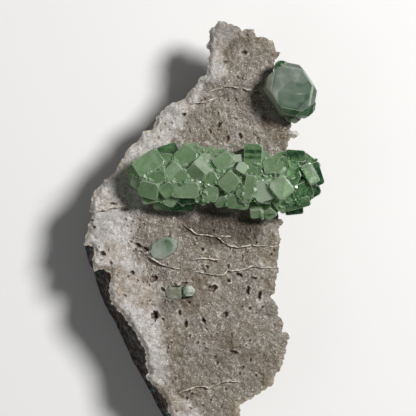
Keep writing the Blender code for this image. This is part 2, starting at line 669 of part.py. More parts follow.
def older_crystals():
    """Crystals that stand a little lower, seen between the main ones along the bar."""
    draw = random.Random(SEED + 2)
    older = []
    for column in range(OLDER_COLUMNS):
        for row, row_y in enumerate(OLDER_ROWS):
            x = OLDER_START_X + (column + 0.5 * (row % 2)) * OLDER_PITCH + draw.uniform(-1.0, 1.0)
            y = BAR_AXIS_Y + row_y + draw.uniform(-0.8, 0.8)
            older.append(Crystal(
                x, y, draw.uniform(0.0, 90.0), draw.uniform(4.2, 5.2), draw.uniform(3.6, 4.6),
                draw.uniform(-0.15, 0.15), 0.05 * row_y + draw.uniform(-0.1, 0.1),
                -OLDER_DROP + draw.uniform(-0.4, 0.4),
            ))
    return older


def bar_height(crystal):
    """The rounded cross-section of the bar."""
    off = (crystal.y - BAR_AXIS_Y) / BAR_HALF_WIDTH
    return SEAT_HEIGHT + BAR_RISE * math.sqrt(max(BAR_EDGE_SHARE, 1.0 - off * off)) + crystal.lift


def main():
    clear_scene()
    basalt = make_material("basalt", (0.022, 0.016, 0.015), 0.75)
    chalcedony = make_material("drusy_chalcedony", (0.42, 0.38, 0.33), 0.6)
    apophyllite = make_material("apophyllite", (0.20, 0.36, 0.19), 0.12, 0.6)
    hazy = make_material("hazy_apophyllite", (0.30, 0.38, 0.30), 0.25, 0.4)

    around = offset_ring(CRUST_OUTLINE, GAP + 0.1)
    seat_cutter = prism_cutter("seat_cutter", around, 0.0, SEAT_HEIGHT + GAP)
    block = [(-80, -110), (-80, 110), (80, 110), (80, -110)]
    low_cutter = prism_cutter("low_cutter", block, -20.0, SEAT_HEIGHT - OVERHANG_DEPTH)
    floor_cutter = prism_cutter("floor_cutter", block, -20.0, POCKET_HEIGHT + GAP)
    bar = BAR_CRYSTALS + older_crystals()
    fuse_crystals(
        "apophyllite_band", bar, [bar_height(crystal) for crystal in bar],
        BAR_DEPTH, 0.2, 0.0, [seat_cutter, low_cutter], apophyllite,
    )
    fuse_crystals(
        "apophyllite_crystal_upper", LARGE_CRYSTALS,
        [LARGE_TOP + crystal.lift for crystal in LARGE_CRYSTALS],
        LARGE_DEPTH, 0.12, 0.3, [seat_cutter, low_cutter], hazy,
    )
    middle = fuse_crystals(
        "apophyllite_crystal_middle", MIDDLE_CRYSTALS,
        [MIDDLE_TOP + crystal.lift for crystal in MIDDLE_CRYSTALS],
        SMALL_DEPTH, 0.15, 0.25, [floor_cutter], hazy,
    )
    lower = fuse_crystals(
        "apophyllite_crystal_lower", LOWER_CRYSTALS,
        [LOWER_TOP + crystal.lift for crystal in LOWER_CRYSTALS],
        SMALL_DEPTH, 0.15, 0.2, [floor_cutter], apophyllite,
    )

    rim, foot, grid = build_contact()
    build_basalt(rim, foot, grid, basalt)
    build_crust(rim, grid, [pocket_around(middle), pocket_around(lower)], chalcedony)


main()
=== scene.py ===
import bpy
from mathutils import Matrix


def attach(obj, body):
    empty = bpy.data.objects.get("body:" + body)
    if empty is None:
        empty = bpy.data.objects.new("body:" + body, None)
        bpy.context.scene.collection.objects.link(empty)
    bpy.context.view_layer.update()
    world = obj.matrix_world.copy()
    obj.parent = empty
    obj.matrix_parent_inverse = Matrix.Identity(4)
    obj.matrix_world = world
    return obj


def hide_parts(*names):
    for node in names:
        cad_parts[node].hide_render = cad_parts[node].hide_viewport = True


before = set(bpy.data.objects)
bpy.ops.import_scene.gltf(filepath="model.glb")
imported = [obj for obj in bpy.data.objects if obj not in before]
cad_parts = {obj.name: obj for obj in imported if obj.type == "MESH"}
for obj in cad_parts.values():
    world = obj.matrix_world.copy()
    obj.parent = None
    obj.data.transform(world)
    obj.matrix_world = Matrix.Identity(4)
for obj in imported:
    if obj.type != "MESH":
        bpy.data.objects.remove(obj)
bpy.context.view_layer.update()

import math
from functools import partial

import bmesh
import bpy
import numpy as np
from mathutils import Vector, noise
from mathutils.geometry import convex_hull_2d, delaunay_2d_cdt

# BASALT MATRIX
# Fine-grained dark basalt from a lava flow, broken from the quarry face with a hammer. The break is
# hackly with sharp low ridges, and small gas holes in it are lined with blue-green celadonite.

MM = 0.001
BASALT_VOXEL = 0.75         # mesh size of the broken surface
CHIP_SIZE = 6.0             # width of the flat chips that the break left
CHIP_DEPTH = 0.9
CHIP_PATCH = 15.0           # width of the patches where they are deeper
GRAIN_SIZE = 1.6            # width of the coarsest grain on them
GRAIN_HEIGHT = 0.25
FINE_CHIP_SIZE = 1.6 * GRAIN_SIZE
FINE_CHIP_DEPTH = 0.45
FINE_CHIP_PATCH = 7.0
BREAK_RISE = 0.15           # most that the break stands out of the solid
FOOT_HEIGHT = 6.0           # the break is flatter below this height
GAS_HOLES = 110
GAS_HOLE_RADII = (0.5, 1.5)
GAS_HOLE_DEPTH = 0.75       # of a hole's radius
GAS_HOLE_HEIGHTS = (2.0, 23.5)
LINED_SHARE = 0.32          # of the gas holes
BASALT_BLACK = "120E0D"
BASALT_DARK = "2B211D"
BASALT_GREY = "57504B"
BASALT_RUST = "4A2C1E"
BASALT_PAINTED_SHEEN = "8C857E"
CELADONITE = "50ABA2"
FELDSPAR_SIZE = 0.8         # pale grains, coarser than the real ones so that they show
RUST_PATCH = 9.0
RIDGE_SIZE = 2.6            # of the glossier ridges, painted paler as a sheen
CELADONITE_PATCH = 2.2


def linear(hex_colour):
    """An sRGB hex colour as linear red, green, blue and alpha."""
    values = [int(hex_colour[start:start + 2], 16) / 255.0 for start in (0, 2, 4)]
    return [
        value / 12.92 if value <= 0.04045 else ((value + 0.055) / 1.055) ** 2.4 for value in values
    ] + [1.0]


def per_metre(size):
    """The scale of a pattern whose features have that size in millimetres."""
    return 1000.0 / size


def add_node(tree, kind, inputs=(), output=0, stops=(), **settings):
    """Adds a node with its settings and links, and gives one of its outputs. An input is a number, a
    colour or another node's output, in a dictionary or in the order of the sockets. Stops are the
    places and hex colours of a ramp."""
    node = tree.nodes.new(kind)
    for key, value in settings.items():
        setattr(node, key, value)
    for key, value in inputs.items() if isinstance(inputs, dict) else enumerate(inputs):
        if isinstance(value, bpy.types.NodeSocket):
            tree.links.new(value, node.inputs[key])
        else:
            node.inputs[key].default_value = value
    stops = list(stops)
    points = node.color_ramp.elements if stops else []
    while len(points) < len(stops):
        points.new(0.5)
    for point, (place, colour) in zip(points, stops):
        point.position = place
        point.color = linear(colour)
    return node.outputs[output]


def new_material(name, **values):
    """A material, a function that adds a node to it, its Principled shader, whose constant values are
    set on its own sockets, and the place of each point."""
    material = bpy.data.materials.new(name)
    material.use_nodes = True
    shader = material.node_tree.nodes["Principled BSDF"]
    for key, value in values.items():
        shader.inputs[key.replace("_", " ")].default_value = value
    add = partial(add_node, material.node_tree)
    return material, add, shader, add("ShaderNodeTexCoord", output="Object")


def link_inputs(shader, **outputs):
    for key, value in outputs.items():
        shader.id_data.links.new(value, shader.inputs[key.replace("_", " ")])


def new_object(name, data):
    thing = bpy.data.objects.new(name, data)
    bpy.context.scene.collection.objects.link(thing)
    return thing


def new_mesh(name, points, edges=(), faces=()):
    """A mesh from points in millimetres."""
    mesh = bpy.data.meshes.new(name)
    mesh.from_pydata([Vector(point) * MM for point in points], edges, faces)
    return mesh


def new_piece(name, mesh, material):
    """A closed piece from a mesh of loose or merged faces, facing outwards."""
    shell = bmesh.new()
    shell.from_mesh(mesh)
    bmesh.ops.remove_doubles(shell, verts=shell.verts, dist=1e-6)
    bmesh.ops.recalc_face_normals(shell, faces=shell.faces)
    shell.to_mesh(mesh)
    shell.free()
    mesh.materials.append(material)
    return new_object(name, mesh)


def merged_copy(node, name, material):
    """A piece that starts as the CAD node's shape, with its loose triangles merged."""
    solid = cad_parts[node].data
    mesh = bpy.data.meshes.new(name)
    mesh.from_pydata(
        [vert.co.copy() for vert in solid.vertices], [], [tuple(face.vertices) for face in solid.polygons])
    return new_piece(name, mesh, material)


def bake_modifiers(piece):
    """Turns the piece and its modifiers into a plain mesh."""
    depsgraph = bpy.context.evaluated_depsgraph_get()
    mesh = bpy.data.meshes.new_from_object(piece.evaluated_get(depsgraph), depsgraph=depsgraph)
    piece.modifiers.clear()
    piece.data = mesh


def store(piece, name, values):
    """Keeps a value for each of the piece's points, for its material or its tree to read."""
    layer = piece.data.attributes.new(name, "FLOAT", "POINT")
    layer.data.foreach_set("value", np.asarray(values, dtype=np.float32))


def read_vectors(piece, name):
    """The places or the normals of the piece's points, one row each."""
    values = np.empty(len(piece.data.vertices) * 3, dtype=np.float32)
    piece.data.vertices.foreach_get(name, values)
    return values.reshape(-1, 3).astype(float)


def read_points(piece):
    return read_vectors(piece, "co") / MM


def smooth(value):
    value = np.clip(value, 0.0, 1.0)
    return value * value * (3.0 - 2.0 * value)


def solid_noise(points, size, layer=0.0):
    """Noise from about -1 to 1 at points in millimetres, with lumps of that size."""
    shift = Vector((0.0, 0.0, 31.7 * layer))
    return np.array([noise.noise(Vector(point) / size + shift) for point in points])


def chips(points, size):
    """0 on the ridges between the chips of a break, up to about 1 on their middles."""
    found = np.array([noise.voronoi(Vector(point) / size)[0][:2] for point in points])
    return smooth((found[:, 1] - found[:, 0]) * 2.2)


# basalt, a cooled lava, broken with a hammer: nearly black, dull, with fine paler feldspar grains and a
# painted pale sheen along its ridges
basalt, add, shader, place = new_material("broken_basalt")
grains, rust, ridges, teal = (
    add("ShaderNodeTexNoise", {
        "Vector": place, "Scale": per_metre(size), "Detail": detail, "Roughness": roughness})
    for size, detail, roughness in (
        (FELDSPAR_SIZE, 4.0, 0.7), (RUST_PATCH, 3.0, 0.5), (RIDGE_SIZE, 2.0, 0.6),
        (CELADONITE_PATCH, 3.0, 0.6)))
body = add("ShaderNodeValToRGB", [grains], stops=[
    (0.38, BASALT_BLACK), (0.55, BASALT_DARK), (0.72, BASALT_GREY)])
lining = add("ShaderNodeMath", [
    add("ShaderNodeMapRange", [teal, 0.65, 0.67]),
    add("ShaderNodeAttribute", output="Fac", attribute_name="lining"),
], operation="MAXIMUM")
# the ridges' share paints a pale grey sheen, standing in for light glancing off them
for share, colour in (
        (add("ShaderNodeMapRange", [rust, 0.48, 0.66, 0.0, 0.7]), BASALT_RUST),
        (add("ShaderNodeMapRange", [ridges, 0.5, 0.75, 0.0, 0.8]), BASALT_PAINTED_SHEEN),
        (lining, CELADONITE)):
    body = add("ShaderNodeMix", {0: share, 6: body, 7: linear(colour)}, 2, data_type="RGBA")
gloss = add("ShaderNodeMapRange", [ridges, 0.45, 0.65, 0.7, 0.3])
bump = add("ShaderNodeBump", {"Height": grains, "Distance": 0.00025, "Strength": 0.8})
link_inputs(shader, Base_Color=body, Roughness=gloss, Normal=bump)

matrix = merged_copy("basalt_matrix", "broken_basalt_matrix", basalt)
remesh = matrix.modifiers.new("break_surface", "REMESH")
remesh.mode = "VOXEL"
remesh.voxel_size = BASALT_VOXEL * MM
bake_modifiers(matrix)
points = read_points(matrix)
normals = read_vectors(matrix, "normal")
relief = -CHIP_DEPTH * (1.0 - chips(points, CHIP_SIZE)) * (0.5 + 0.5 * solid_noise(points, CHIP_PATCH))
relief -= FINE_CHIP_DEPTH * (1.0 - chips(points, FINE_CHIP_SIZE)) * (
    0.6 + 0.6 * solid_noise(points, FINE_CHIP_PATCH, 2))
relief += GRAIN_HEIGHT * solid_noise(points, GRAIN_SIZE, 1)
draw = np.random.RandomState(11)
lowest, highest = GAS_HOLE_HEIGHTS
flank = np.flatnonzero((points[:, 2] > lowest) & (points[:, 2] < highest) & (np.abs(normals[:, 2]) < 0.8))
lining_share = np.zeros(len(points))
for index in draw.choice(flank, GAS_HOLES):
    radius = draw.uniform(*GAS_HOLE_RADII)
    away = np.linalg.norm(points - points[index], axis=1) / radius
    near = away < 1.0
    relief[near] = np.minimum(relief[near], -GAS_HOLE_DEPTH * radius * np.sqrt(1.0 - away[near] ** 2))
    if draw.uniform() < LINED_SHARE:
        lining_share[near] = np.maximum(lining_share[near], smooth((0.95 - away[near]) * 4.0))
relief *= 0.3 + 0.7 * smooth((points[:, 2] - 1.0) / FOOT_HEIGHT)
points += normals * np.minimum(relief, BREAK_RISE)[:, None]
points[:, 2] = np.maximum(points[:, 2], 0.0)
matrix.data.vertices.foreach_set("co", (points * MM).astype(np.float32).ravel())
matrix.data.update()
store(matrix, "lining", lining_share)
matrix.data.polygons.foreach_set("use_smooth", [False] * len(matrix.data.polygons))
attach(matrix, "root")
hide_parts("basalt_matrix")

# CHALCEDONY CRUST
# A layer of pale chalcedony a few millimetres thick that grew over the basalt and broke off with it.
# Its face steps down at thin ledges, it is pitted with small cavities, and its rim is ragged.

CONTACT_HEIGHT = 25.0       # flat back to the contact of basalt and crust
CONTACT_SWELL = 1.3
CONTACT_WAVE = 30.0
CRUST_TOP = 31.0            # flat back to the top of the crust
CRUST_SWELL = 1.0
CRUST_WAVE = 38.0
UNEVEN_HEIGHT = 0.35        # of the face between its swells and its grain
UNEVEN_SIZE = 4.0
EDGE_DROP = 1.1             # of the face towards its rim
EDGE_WIDTH = 2.6
RIM_UNDERCUT = 0.6
SEAT_HEIGHT = 30.6          # under the bar and the large crystal
SEAT_REACH = 7.0
LEDGE_RISE = 0.9
LEDGE_SLOPE = 7.0
UNDERCUT_REACH = 0.8        # groove under a ledge
UNDERCUT_DEPTH = 0.32
POCKET_HEIGHT = 29.4        # floor of the pockets that hold the small crystals
POCKET_ROOM = 0.3           # by which a pocket is drawn in from its crystal
COLLAR_RISE = 0.7           # of the crust against the small crystals that are sunk in it
COLLAR_REACH = 2.6
PALE_STEP = 0.4             # the white zone stands this much above the druse
LUMP_SIZE = 2.8             # lumps of the crust along its rim
LUMP_HEIGHT = 0.28
RIM_RAGGED = 0.6            # depth of the notches between them
GRAIN_HEIGHTS = ((1.7, 0.28, 17), (0.85, 0.16, 18))     # size, height and layer of the face's grain
DIP_DEPTH = 0.5             # dips between the tufts of the druse
PIT_COUNT = 260             # small pits between the cavities
PIT_RADII = (0.25, 0.6)
RING_WIDTH = 0.7            # most of the pale ring round a cavity or pit
FACE_SPACING = 0.5          # between points of the crust's face
FINE_SPACING = 0.26         # the same at cavities and ledges
FINE_REACH = 0.7            # how far the close points go beyond them
RIM_SPACING = 0.5
RIM_LEVELS = 10
UNDERSIDE_SPACING = 4.0
GRID_START = (-53.0, -88.0)     # corner of the grids of points
GRID_SIZE = (98, 178)
ROW_HEIGHT = 0.866          # of a triangular grid, as a share of its spacing

# Rim of the crust, clockwise from the narrow end
CRUST_OUTLINE = [
    (7, 85), (11, 83.5), (14, 82.5), (17, 80.5), (20, 81.5), (22, 80.5), (23, 78), (26, 78), (29.5, 76),
    (31.5, 72), (33, 71), (31, 68), (30, 61.5), (31.5, 54.5), (34, 47.5), (37.5, 43.5), (37.5, 40.5),
    (37, 38.3), (38.6, 38.7), (40.4, 37.9), (41, 36.5), (40.2, 35.2), (38.4, 34.8), (37, 35.2),
    (36, 31), (35.5, 23.5), (34, 13), (32, 3), (32, 1.2), (33.4, 1.1), (34.6, 0), (34.2, -1.4),
    (32.6, -1.9), (32, -3.5), (33.5, -7.5), (32, -12.5), (32, -21), (31, -25.5), (31, -30.5),
    (29, -31.5), (31, -33.5), (32, -37), (32, -39.5), (34, -40.5), (34, -46), (37, -47.5), (36, -52),
    (34.5, -58), (33.5, -61.5), (30.5, -65.5), (30.5, -68.5), (26.5, -71), (22, -73.5), (19, -76),
    (16, -77), (16, -81.5), (14, -84), (8, -85), (1, -84), (-7, -85), (-13, -83.5), (-14.5, -80),
    (-15.5, -75), (-18.5, -71.5), (-22, -68.5), (-24, -65), (-22.5, -63.5), (-24, -60.5), (-24, -56),
    (-25.5, -52), (-28, -48), (-31.5, -42.5), (-35, -38), (-38.5, -34.5), (-39.5, -29), (-39, -24.5),
    (-39, -21.5), (-41.5, -20.5), (-45.5, -21), (-47, -16), (-45.5, -12.5), (-46.5, -10.5),
    (-50.5, -10), (-49.5, -7.5), (-48.5, -3), (-47, 2.5), (-48, 4), (-47, 7), (-46.5, 11), (-45, 13.5),
    (-43, 15.5), (-41.5, 17.5), (-38, 19.5), (-36, 23.5), (-33.5, 27), (-31, 31.5), (-27.5, 34),
    (-25, 38), (-22, 38.5), (-20.5, 41), (-20, 44), (-17.5, 46), (-14, 49.5), (-10, 51), (-7.5, 51.5),
    (-6.5, 54), (-3.5, 57), (-0.5, 61.5), (1.5, 62), (2, 68), (3, 71), (1, 74), (2.5, 76), (2.5, 80.5),
    (4.5, 82),
]
# Ledges, each from -X to +X, with the drop on the -Y side
LEDGES = [
    [(1, 53.5), (4.5, 55), (10, 57), (16, 56), (22, 55), (26.5, 56.5)],
    [(-5, 49.5), (0.5, 50), (5.5, 52)],
    [(-47, 3.5), (-43.5, 4.5), (-40, 5.5), (-32.5, 6.5)],
    [(-11.5, 1), (-6, -2.5), (-2.5, -5.5), (5.5, -6), (10.5, -9.5), (15, -11), (20, -10), (32, -10.5)],
    [(-23, -14.5), (-17, -18), (-9.5, -20)],
    [(-4, -16), (2.5, -15.5), (7, -16.5)],
    [(-3.5, -21), (5.5, -22.5), (9, -22.5), (10.5, -20.5), (16, -20.5), (20.5, -19), (31.5, -19.5)],
    [(-10, -72), (-4.5, -70), (-1, -69), (3, -70), (6.5, -68), (11.5, -67), (16, -67.5)],
]
BAR_SEAT = [
    (-32, 22), (-25, 30), (-15, 33.5), (-5, 33), (2, 31), (18, 30.5), (26, 32.5), (33, 29.5),
    (33.2, 20), (32, 12), (29.5, 1.5), (24, 1.8), (10, 3.5), (-3, 5), (-8, 3.5), (-20, 4.5), (-28, 10),
    (-31.5, 15),
]
LARGE_SEAT = [(29, 66), (26, 62), (26.5, 54), (29.5, 47), (31.8, 47.5), (29.8, 54), (28.4, 61.5)]
# Cavities: place, half length, half width, turn of the length and depth
CAVITIES = [
    (-20, -39.5, 2.5, 1.5, 90, 3), (17.5, 71, 1.2, 1, 0, 1.5), (10.5, 34.5, 1.7, 0.9, 75, 2),
    (16, 36, 1.5, 0.8, 110, 1.5), (7, 40.5, 1.7, 0.8, 45, 1.5), (4, -28, 2.3, 1.4, 10, 2),
    (19, -29, 1.9, 0.9, 80, 2), (24, -31, 2.1, 0.8, 85, 1.8), (9.5, -39, 1.7, 1.1, 20, 1.8),
    (-20.5, -24, 2, 1.4, 45, 2), (-29.5, -21.5, 1.2, 0.9, 0, 1.5), (13.5, -55, 1.9, 0.8, 160, 1.8),
    (-27, -10, 1.8, 0.9, 150, 1.8), (-42, -13.5, 1.6, 1.1, 140, 1.8), (23.5, 34.5, 1.2, 0.7, 120, 1.4),
    (23, 54.2, 1.4, 0.8, 160, 1.4), (9.5, 67, 0.9, 0.6, 0, 1.2), (-8, 45, 1, 0.7, 0, 1.2),
    (15.5, -22.5, 1.4, 0.8, 150, 1.6), (21.5, -23.8, 1.7, 0.5, 5, 1.4), (11, -25, 0.8, 0.7, 0, 1.4),
    (0, -11.8, 0.8, 0.8, 0, 1.6), (-9.5, -38.2, 0.8, 1.2, 0, 1.5), (-7, -43, 0.9, 1.7, 0, 1.7),
    (0.5, -41.5, 0.8, 1.6, 25, 1.7), (16.5, -61.5, 1, 0.6, 30, 1.1), (20, -36.5, 0.8, 0.7, 0, 1.2),
    (-7.5, -26, 1.7, 0.6, 5, 1.4), (-16.5, -28.5, 1, 0.7, 140, 1.3), (-24, -11.8, 1.6, 1, 170, 1.6),
    (-45.5, -2.5, 0.9, 0.6, 20, 1.1), (2, -19, 0.9, 0.6, 130, 1.2), (10.8, -18.8, 0.7, 0.9, 0, 1.2),
    (13.5, -0.5, 0.9, 0.8, 0, 1), (-31.5, -23.2, 0.8, 0.6, 0, 1.1), (-37.5, 7.5, 1.5, 0.6, 0, 1.2),
    (-32.5, 5, 2.2, 0.8, 5, 1.2), (-47.2, 0.5, 1.8, 0.5, 5, 1), (-5.5, -34, 0.6, 0.6, 0, 1.1),
    (-16.5, -41, 0.8, 0.5, 150, 1.1), (6.5, 45.5, 0.7, 0.5, 60, 0.9),
]
# Clusters of close pits: middle, reach and number
PIT_CLUSTERS = [
    (-29, 0.5, 2.4, 16), (-21, 2.5, 2.4, 12), (-26, -10, 2.6, 14), (-30, -23, 1.6, 8),
    (-21.5, -23.5, 2.2, 12), (-17.5, -18, 2, 8), (-21, -33, 2.2, 8), (-2, -18.5, 2, 8),
    (-43, -13, 1.5, 6), (-16, 40, 2.5, 8),
]
# Darker patches: middle, half length, half width and strength. The first is painted shade under the
# bar's lower side, where its shadow falls; the others darken the crust at the narrow end and lower down
SHADE_AND_DARK_PATCHES = [
    (10, -3, 26, 9, 0.95), (9, 78, 14, 9, 0.5), (-10, -33, 12, 8, 0.2), (10, -57, 24, 12, 0.3),
]
# Where the white zone ends, as y and x from the wide end to the narrow end
PALE_EDGE = [
    (-85, 4), (-79, -3), (-73, -11), (-66, -15), (-54, -15), (-47, -16), (-38, -20), (-28, -20),
    (-18, -27), (-6, -29), (3, -29), (12, -18), (22, -13), (34, -13), (42, -9), (49, -2), (54, 1.5),
    (60, 5), (66, 9), (72, 11), (78, 13), (85, 15),
]
PALE_KNOB = (39.5, 36.8, 4)     # middle and reach of the white knob on the +X rim
PALE_COLOURS = ("928E8A", "B7B3AF", "CCC8C4", "E4E1DD")
PALE_GREY = "B1B3B1"
DRUSE_COLOURS = ("5B544A", "7F786D", "91897E", "A49D92", "D6D2CA")
CREAM_COLOUR = "C2B49B"
# painted shade under the bar and darker patches elsewhere multiply the crust's colour by this
SHADE_AND_DARK_COLOUR = "998D80"
SPECK_SIZE = 0.75           # grains of the druse
GREY_PATCH = 5.0            # grey patches in the white zone
# Layers of tone in the crust: size, detail and roughness of the noise, and places and colours
STAINS = (13.0, 4.0, 0.65, (0.36, 0.5, 0.64), ("D3C9BC", "FFFFFF", "DFE0E1"))
MOTTLING = (2.6, 4.0, 0.65, (0.36, 0.5, 0.64), ("DCD8D2", "F6F4F1", "FFFFFF"))
# a brown lining in the cavities that darkens with their depth as painted shade
HOLLOW_LINING_AND_SHADE = (0.9, 2.0, 0.5, (0.35, 0.5, 0.65), ("33291F", "635243", "937F69"))


def distance_to_line(plan, line, closed=False):
    """For each plan point: distance to a line, its place along the line, and whether it is left of it."""
    best = np.full(len(plan), 1e9)
    along = np.zeros(len(plan))
    left = np.zeros(len(plan), dtype=bool)
    ends = [*line[1:], *line[:1]] if closed else line[1:]
    for index, (start, end) in enumerate(zip(line, ends)):
        start = np.array(start, dtype=float)
        run = np.array(end, dtype=float) - start
        away = plan - start
        share = np.clip(away @ run / (run @ run), 0.0, 1.0)
        rest = away - share[:, None] * run
        distance = np.hypot(rest[:, 0], rest[:, 1])
        nearer = distance < best
        best[nearer] = distance[nearer]
        along[nearer] = index + share[nearer]
        left[nearer] = (run[0] * rest[:, 1] - run[1] * rest[:, 0])[nearer] >= 0.0
    return best, along / len(ends), left


def inside_ring(plan, ring):
    inside = np.zeros(len(plan), dtype=bool)
    x, y = plan[:, 0], plan[:, 1]
    for (x1, y1), (x2, y2) in zip(ring, [*ring[1:], *ring[:1]]):
        if y1 != y2:
            inside ^= ((y1 > y) != (y2 > y)) & (x < x1 + (y - y1) * (x2 - x1) / (y2 - y1))
    return inside


def swell(plan, size, layer):
    """Rise and fall in waves of that size, other in each layer: the same that the crust's solid has."""
    return np.array([noise.noise(Vector((x / size, y / size, 11.7 * layer))) for x, y in plan])


def contact_height(plan):
    return CONTACT_HEIGHT + CONTACT_SWELL * swell(plan, CONTACT_WAVE, 1)


def ledge_wander(plan):
    return 0.4 * swell(plan, 2.4, 12) + 0.2 * swell(plan, 0.9, 22)


def ledge_height(plan):
    """Rise towards each ledge on its upper side and a groove on its lower side."""
    height = np.zeros(len(plan))
    groove = np.zeros(len(plan))
    moved = plan + np.stack([np.zeros(len(plan)), ledge_wander(plan)], axis=1)
    for line in LEDGES:
        distance, along, above = distance_to_line(moved, line)
        ends = smooth(np.minimum(along, 1.0 - along) * 6.0)
        rise = LEDGE_RISE * (1.0 - smooth(distance / LEDGE_SLOPE)) * (0.35 + 0.65 * ends)
        height = np.where(above, np.maximum(height, rise), height)
        depth = UNDERCUT_DEPTH * (1.0 - smooth(distance / UNDERCUT_REACH)) * ends
        groove = np.where(above, groove, np.maximum(groove, depth))
    return height - groove


def small_pits():
    """Places, half lengths, half widths, turns and depths of the pits, mostly in the brown druse."""
    draw = np.random.RandomState(21)
    pits = []
    for x, y, reach, count in PIT_CLUSTERS:
        for place in draw.normal((x, y), reach, (count, 2)):
            radius = draw.uniform(PIT_RADII[0], 0.8 * PIT_RADII[1])
            pits.append((*place, 1.3 * radius, radius, draw.uniform(0, 180), 1.5 * radius))
    while len(pits) < PIT_COUNT:
        place = np.array([[draw.uniform(-48, 36), draw.uniform(-80, 82)]])
        radius = draw.uniform(*PIT_RADII)
        turn = draw.uniform(0, 180)
        crowded = swell(place, 8.0, 27)[0] > draw.uniform(-0.1, 0.5)
        if not crowded or draw.uniform() <= 0.45 * pale_share(place)[0]:
            continue
        if inside_ring(place, CRUST_OUTLINE)[0]:
            pits.append((*place[0], radius * draw.uniform(1.0, 1.8), radius, turn, 1.5 * radius))
    return pits


def near_cavity(plan, cavity, reach):
    """The plan points round a cavity, and their distance from its middle, 1 on its edge."""
    x, y, half_length, half_width, turn = cavity[:5]
    near = np.flatnonzero(np.abs(plan - (x, y)).max(axis=1) < reach)
    turn = math.radians(turn)
    away = plan[near] - (x, y)
    along = away[:, 0] * math.cos(turn) + away[:, 1] * math.sin(turn)
    across = away[:, 1] * math.cos(turn) - away[:, 0] * math.sin(turn)
    return near, np.hypot(along / half_length, across / half_width)


def cavity_depth(plan):
    depth = np.zeros(len(plan))
    ragged = 0.45 * swell(plan, 1.5, 13) + 0.3 * swell(plan, 0.7, 14)
    for cavity in CAVITIES + PITS:
        near, away = near_cavity(plan, cavity, 2.0 * cavity[2])
        depth[near] = np.maximum(depth[near], cavity[5] * smooth((1.1 - (away + ragged[near])) / 0.55))
    return depth


def pale_share(plan):
    """1 in the smooth white zone along the -X rim, 0 in the brown druse."""
    edge = np.interp(plan[:, 1], *zip(*PALE_EDGE))
    edge = edge + 4.5 * swell(plan, 9.0, 15) + 3.0 * swell(plan, 2.6, 16)
    patches = 0.45 * smooth((swell(plan, 7.0, 26) + 0.6 * swell(plan, 1.6, 28) - 0.3) * 3.0)
    x, y, reach = PALE_KNOB
    knob = smooth((reach - np.hypot(plan[:, 0] - x, plan[:, 1] - y)) / 1.5)
    return np.maximum.reduce([smooth((edge - plan[:, 0]) / 6.0 + 0.5), patches, knob])


def shade_and_dark_share(plan):
    """Where the crust is darker: painted shade under the bar's lower side, and darker patches at the narrow
    end.
    """
    share = np.zeros(len(plan))
    for x, y, half_length, half_width, amount in SHADE_AND_DARK_PATCHES:
        away = np.hypot((plan[:, 0] - x) / half_length, (plan[:, 1] - y) / half_width)
        away = away + 0.35 * swell(plan, 6.0, 31)
        share = np.maximum(share, amount * smooth((1.0 - away) * 2.0))
    return share


# Small pits, as the cavities above
PITS = small_pits()


def crust_face(plan, pockets):
    """Height of the crust's face, with the grain of the druse."""
    ledges = ledge_height(plan)
    height = CRUST_TOP + CRUST_SWELL * swell(plan, CRUST_WAVE, 2)
    height += UNEVEN_HEIGHT * swell(plan, UNEVEN_SIZE, 3)
    height += ledges - cavity_depth(plan)
    edge = distance_to_line(plan, CRUST_OUTLINE, True)[0]
    height -= EDGE_DROP * (1.0 - smooth(edge / EDGE_WIDTH))
    for seat in (BAR_SEAT, LARGE_SEAT):
        within = inside_ring(plan, seat)
        away = np.where(within, 0.0, distance_to_line(plan, seat, True)[0])
        level = np.where(within, np.minimum(height, SEAT_HEIGHT), SEAT_HEIGHT - 0.2)
        height = level + (height - level) * smooth(away / SEAT_REACH)
    pale = pale_share(plan)
    height += PALE_STEP * pale * smooth(edge / 2.0)
    near_rim = 1.0 - smooth((edge - 1.0) / 7.0)
    height += LUMP_HEIGHT * near_rim * (smooth(np.abs(swell(plan, LUMP_SIZE, 29)) * 2.8) - 1.0)
    grain = sum(rise * swell(plan, size, layer) for size, rise, layer in GRAIN_HEIGHTS)
    height += grain * (1.0 - 0.45 * pale) - 0.15
    height -= DIP_DEPTH * smooth(swell(plan, 2.4, 19) * 3.0 - 1.3) * (1.0 - pale)
    for pocket in pockets:
        away = distance_to_line(plan, pocket, True)[0]
        height += COLLAR_RISE * (1.0 - smooth(away / COLLAR_REACH))
        height = np.where(inside_ring(plan, pocket), POCKET_HEIGHT, height)
    return height


def stepped(line, step):
    """Points along a line, no further apart than step, without its last."""
    points = []
    for start, end in zip(line, line[1:]):
        count = max(1, math.ceil(math.dist(start, end) / step))
        start, end = np.array([start, end], dtype=float)
        points += [start + (end - start) * index / count for index in range(count)]
    return points


def resampled(ring, step):
    """A closed ring with points no further apart than step, and their outward directions."""
    points = np.array(stepped([*ring, ring[0]], step))
    along = np.roll(points, -1, axis=0) - np.roll(points, 1, axis=0)
    along /= np.linalg.norm(along, axis=1)[:, None]
    return points, np.stack([-along[:, 1], along[:, 0]], axis=1)


def scattered(spacing, jitter, seed):
    """A triangular grid over the whole specimen, each point moved a little."""
    draw = np.random.RandomState(seed)
    columns = int(GRID_SIZE[0] / spacing)
    rows = int(GRID_SIZE[1] / (spacing * ROW_HEIGHT))
    row, column = np.mgrid[0:rows, 0:columns]
    x = GRID_START[0] + (column + 0.5 * (row % 2)) * spacing
    y = GRID_START[1] + row * spacing * ROW_HEIGHT
    plan = np.stack([x.ravel(), y.ravel()], axis=1)
    return plan + draw.uniform(-jitter, jitter, plan.shape)


def triangulated(ring, plan):
    """Points and triangles that fill a ring through the plan points inside it."""
    every = [Vector(point) for point in (*ring, *plan)]
    edges = [(index, (index + 1) % len(ring)) for index in range(len(ring))]
    points, _, faces = delaunay_2d_cdt(every, edges, [], 1, 1e-5)[:3]
    return np.array([tuple(point) for point in points]), [tuple(face) for face in faces]


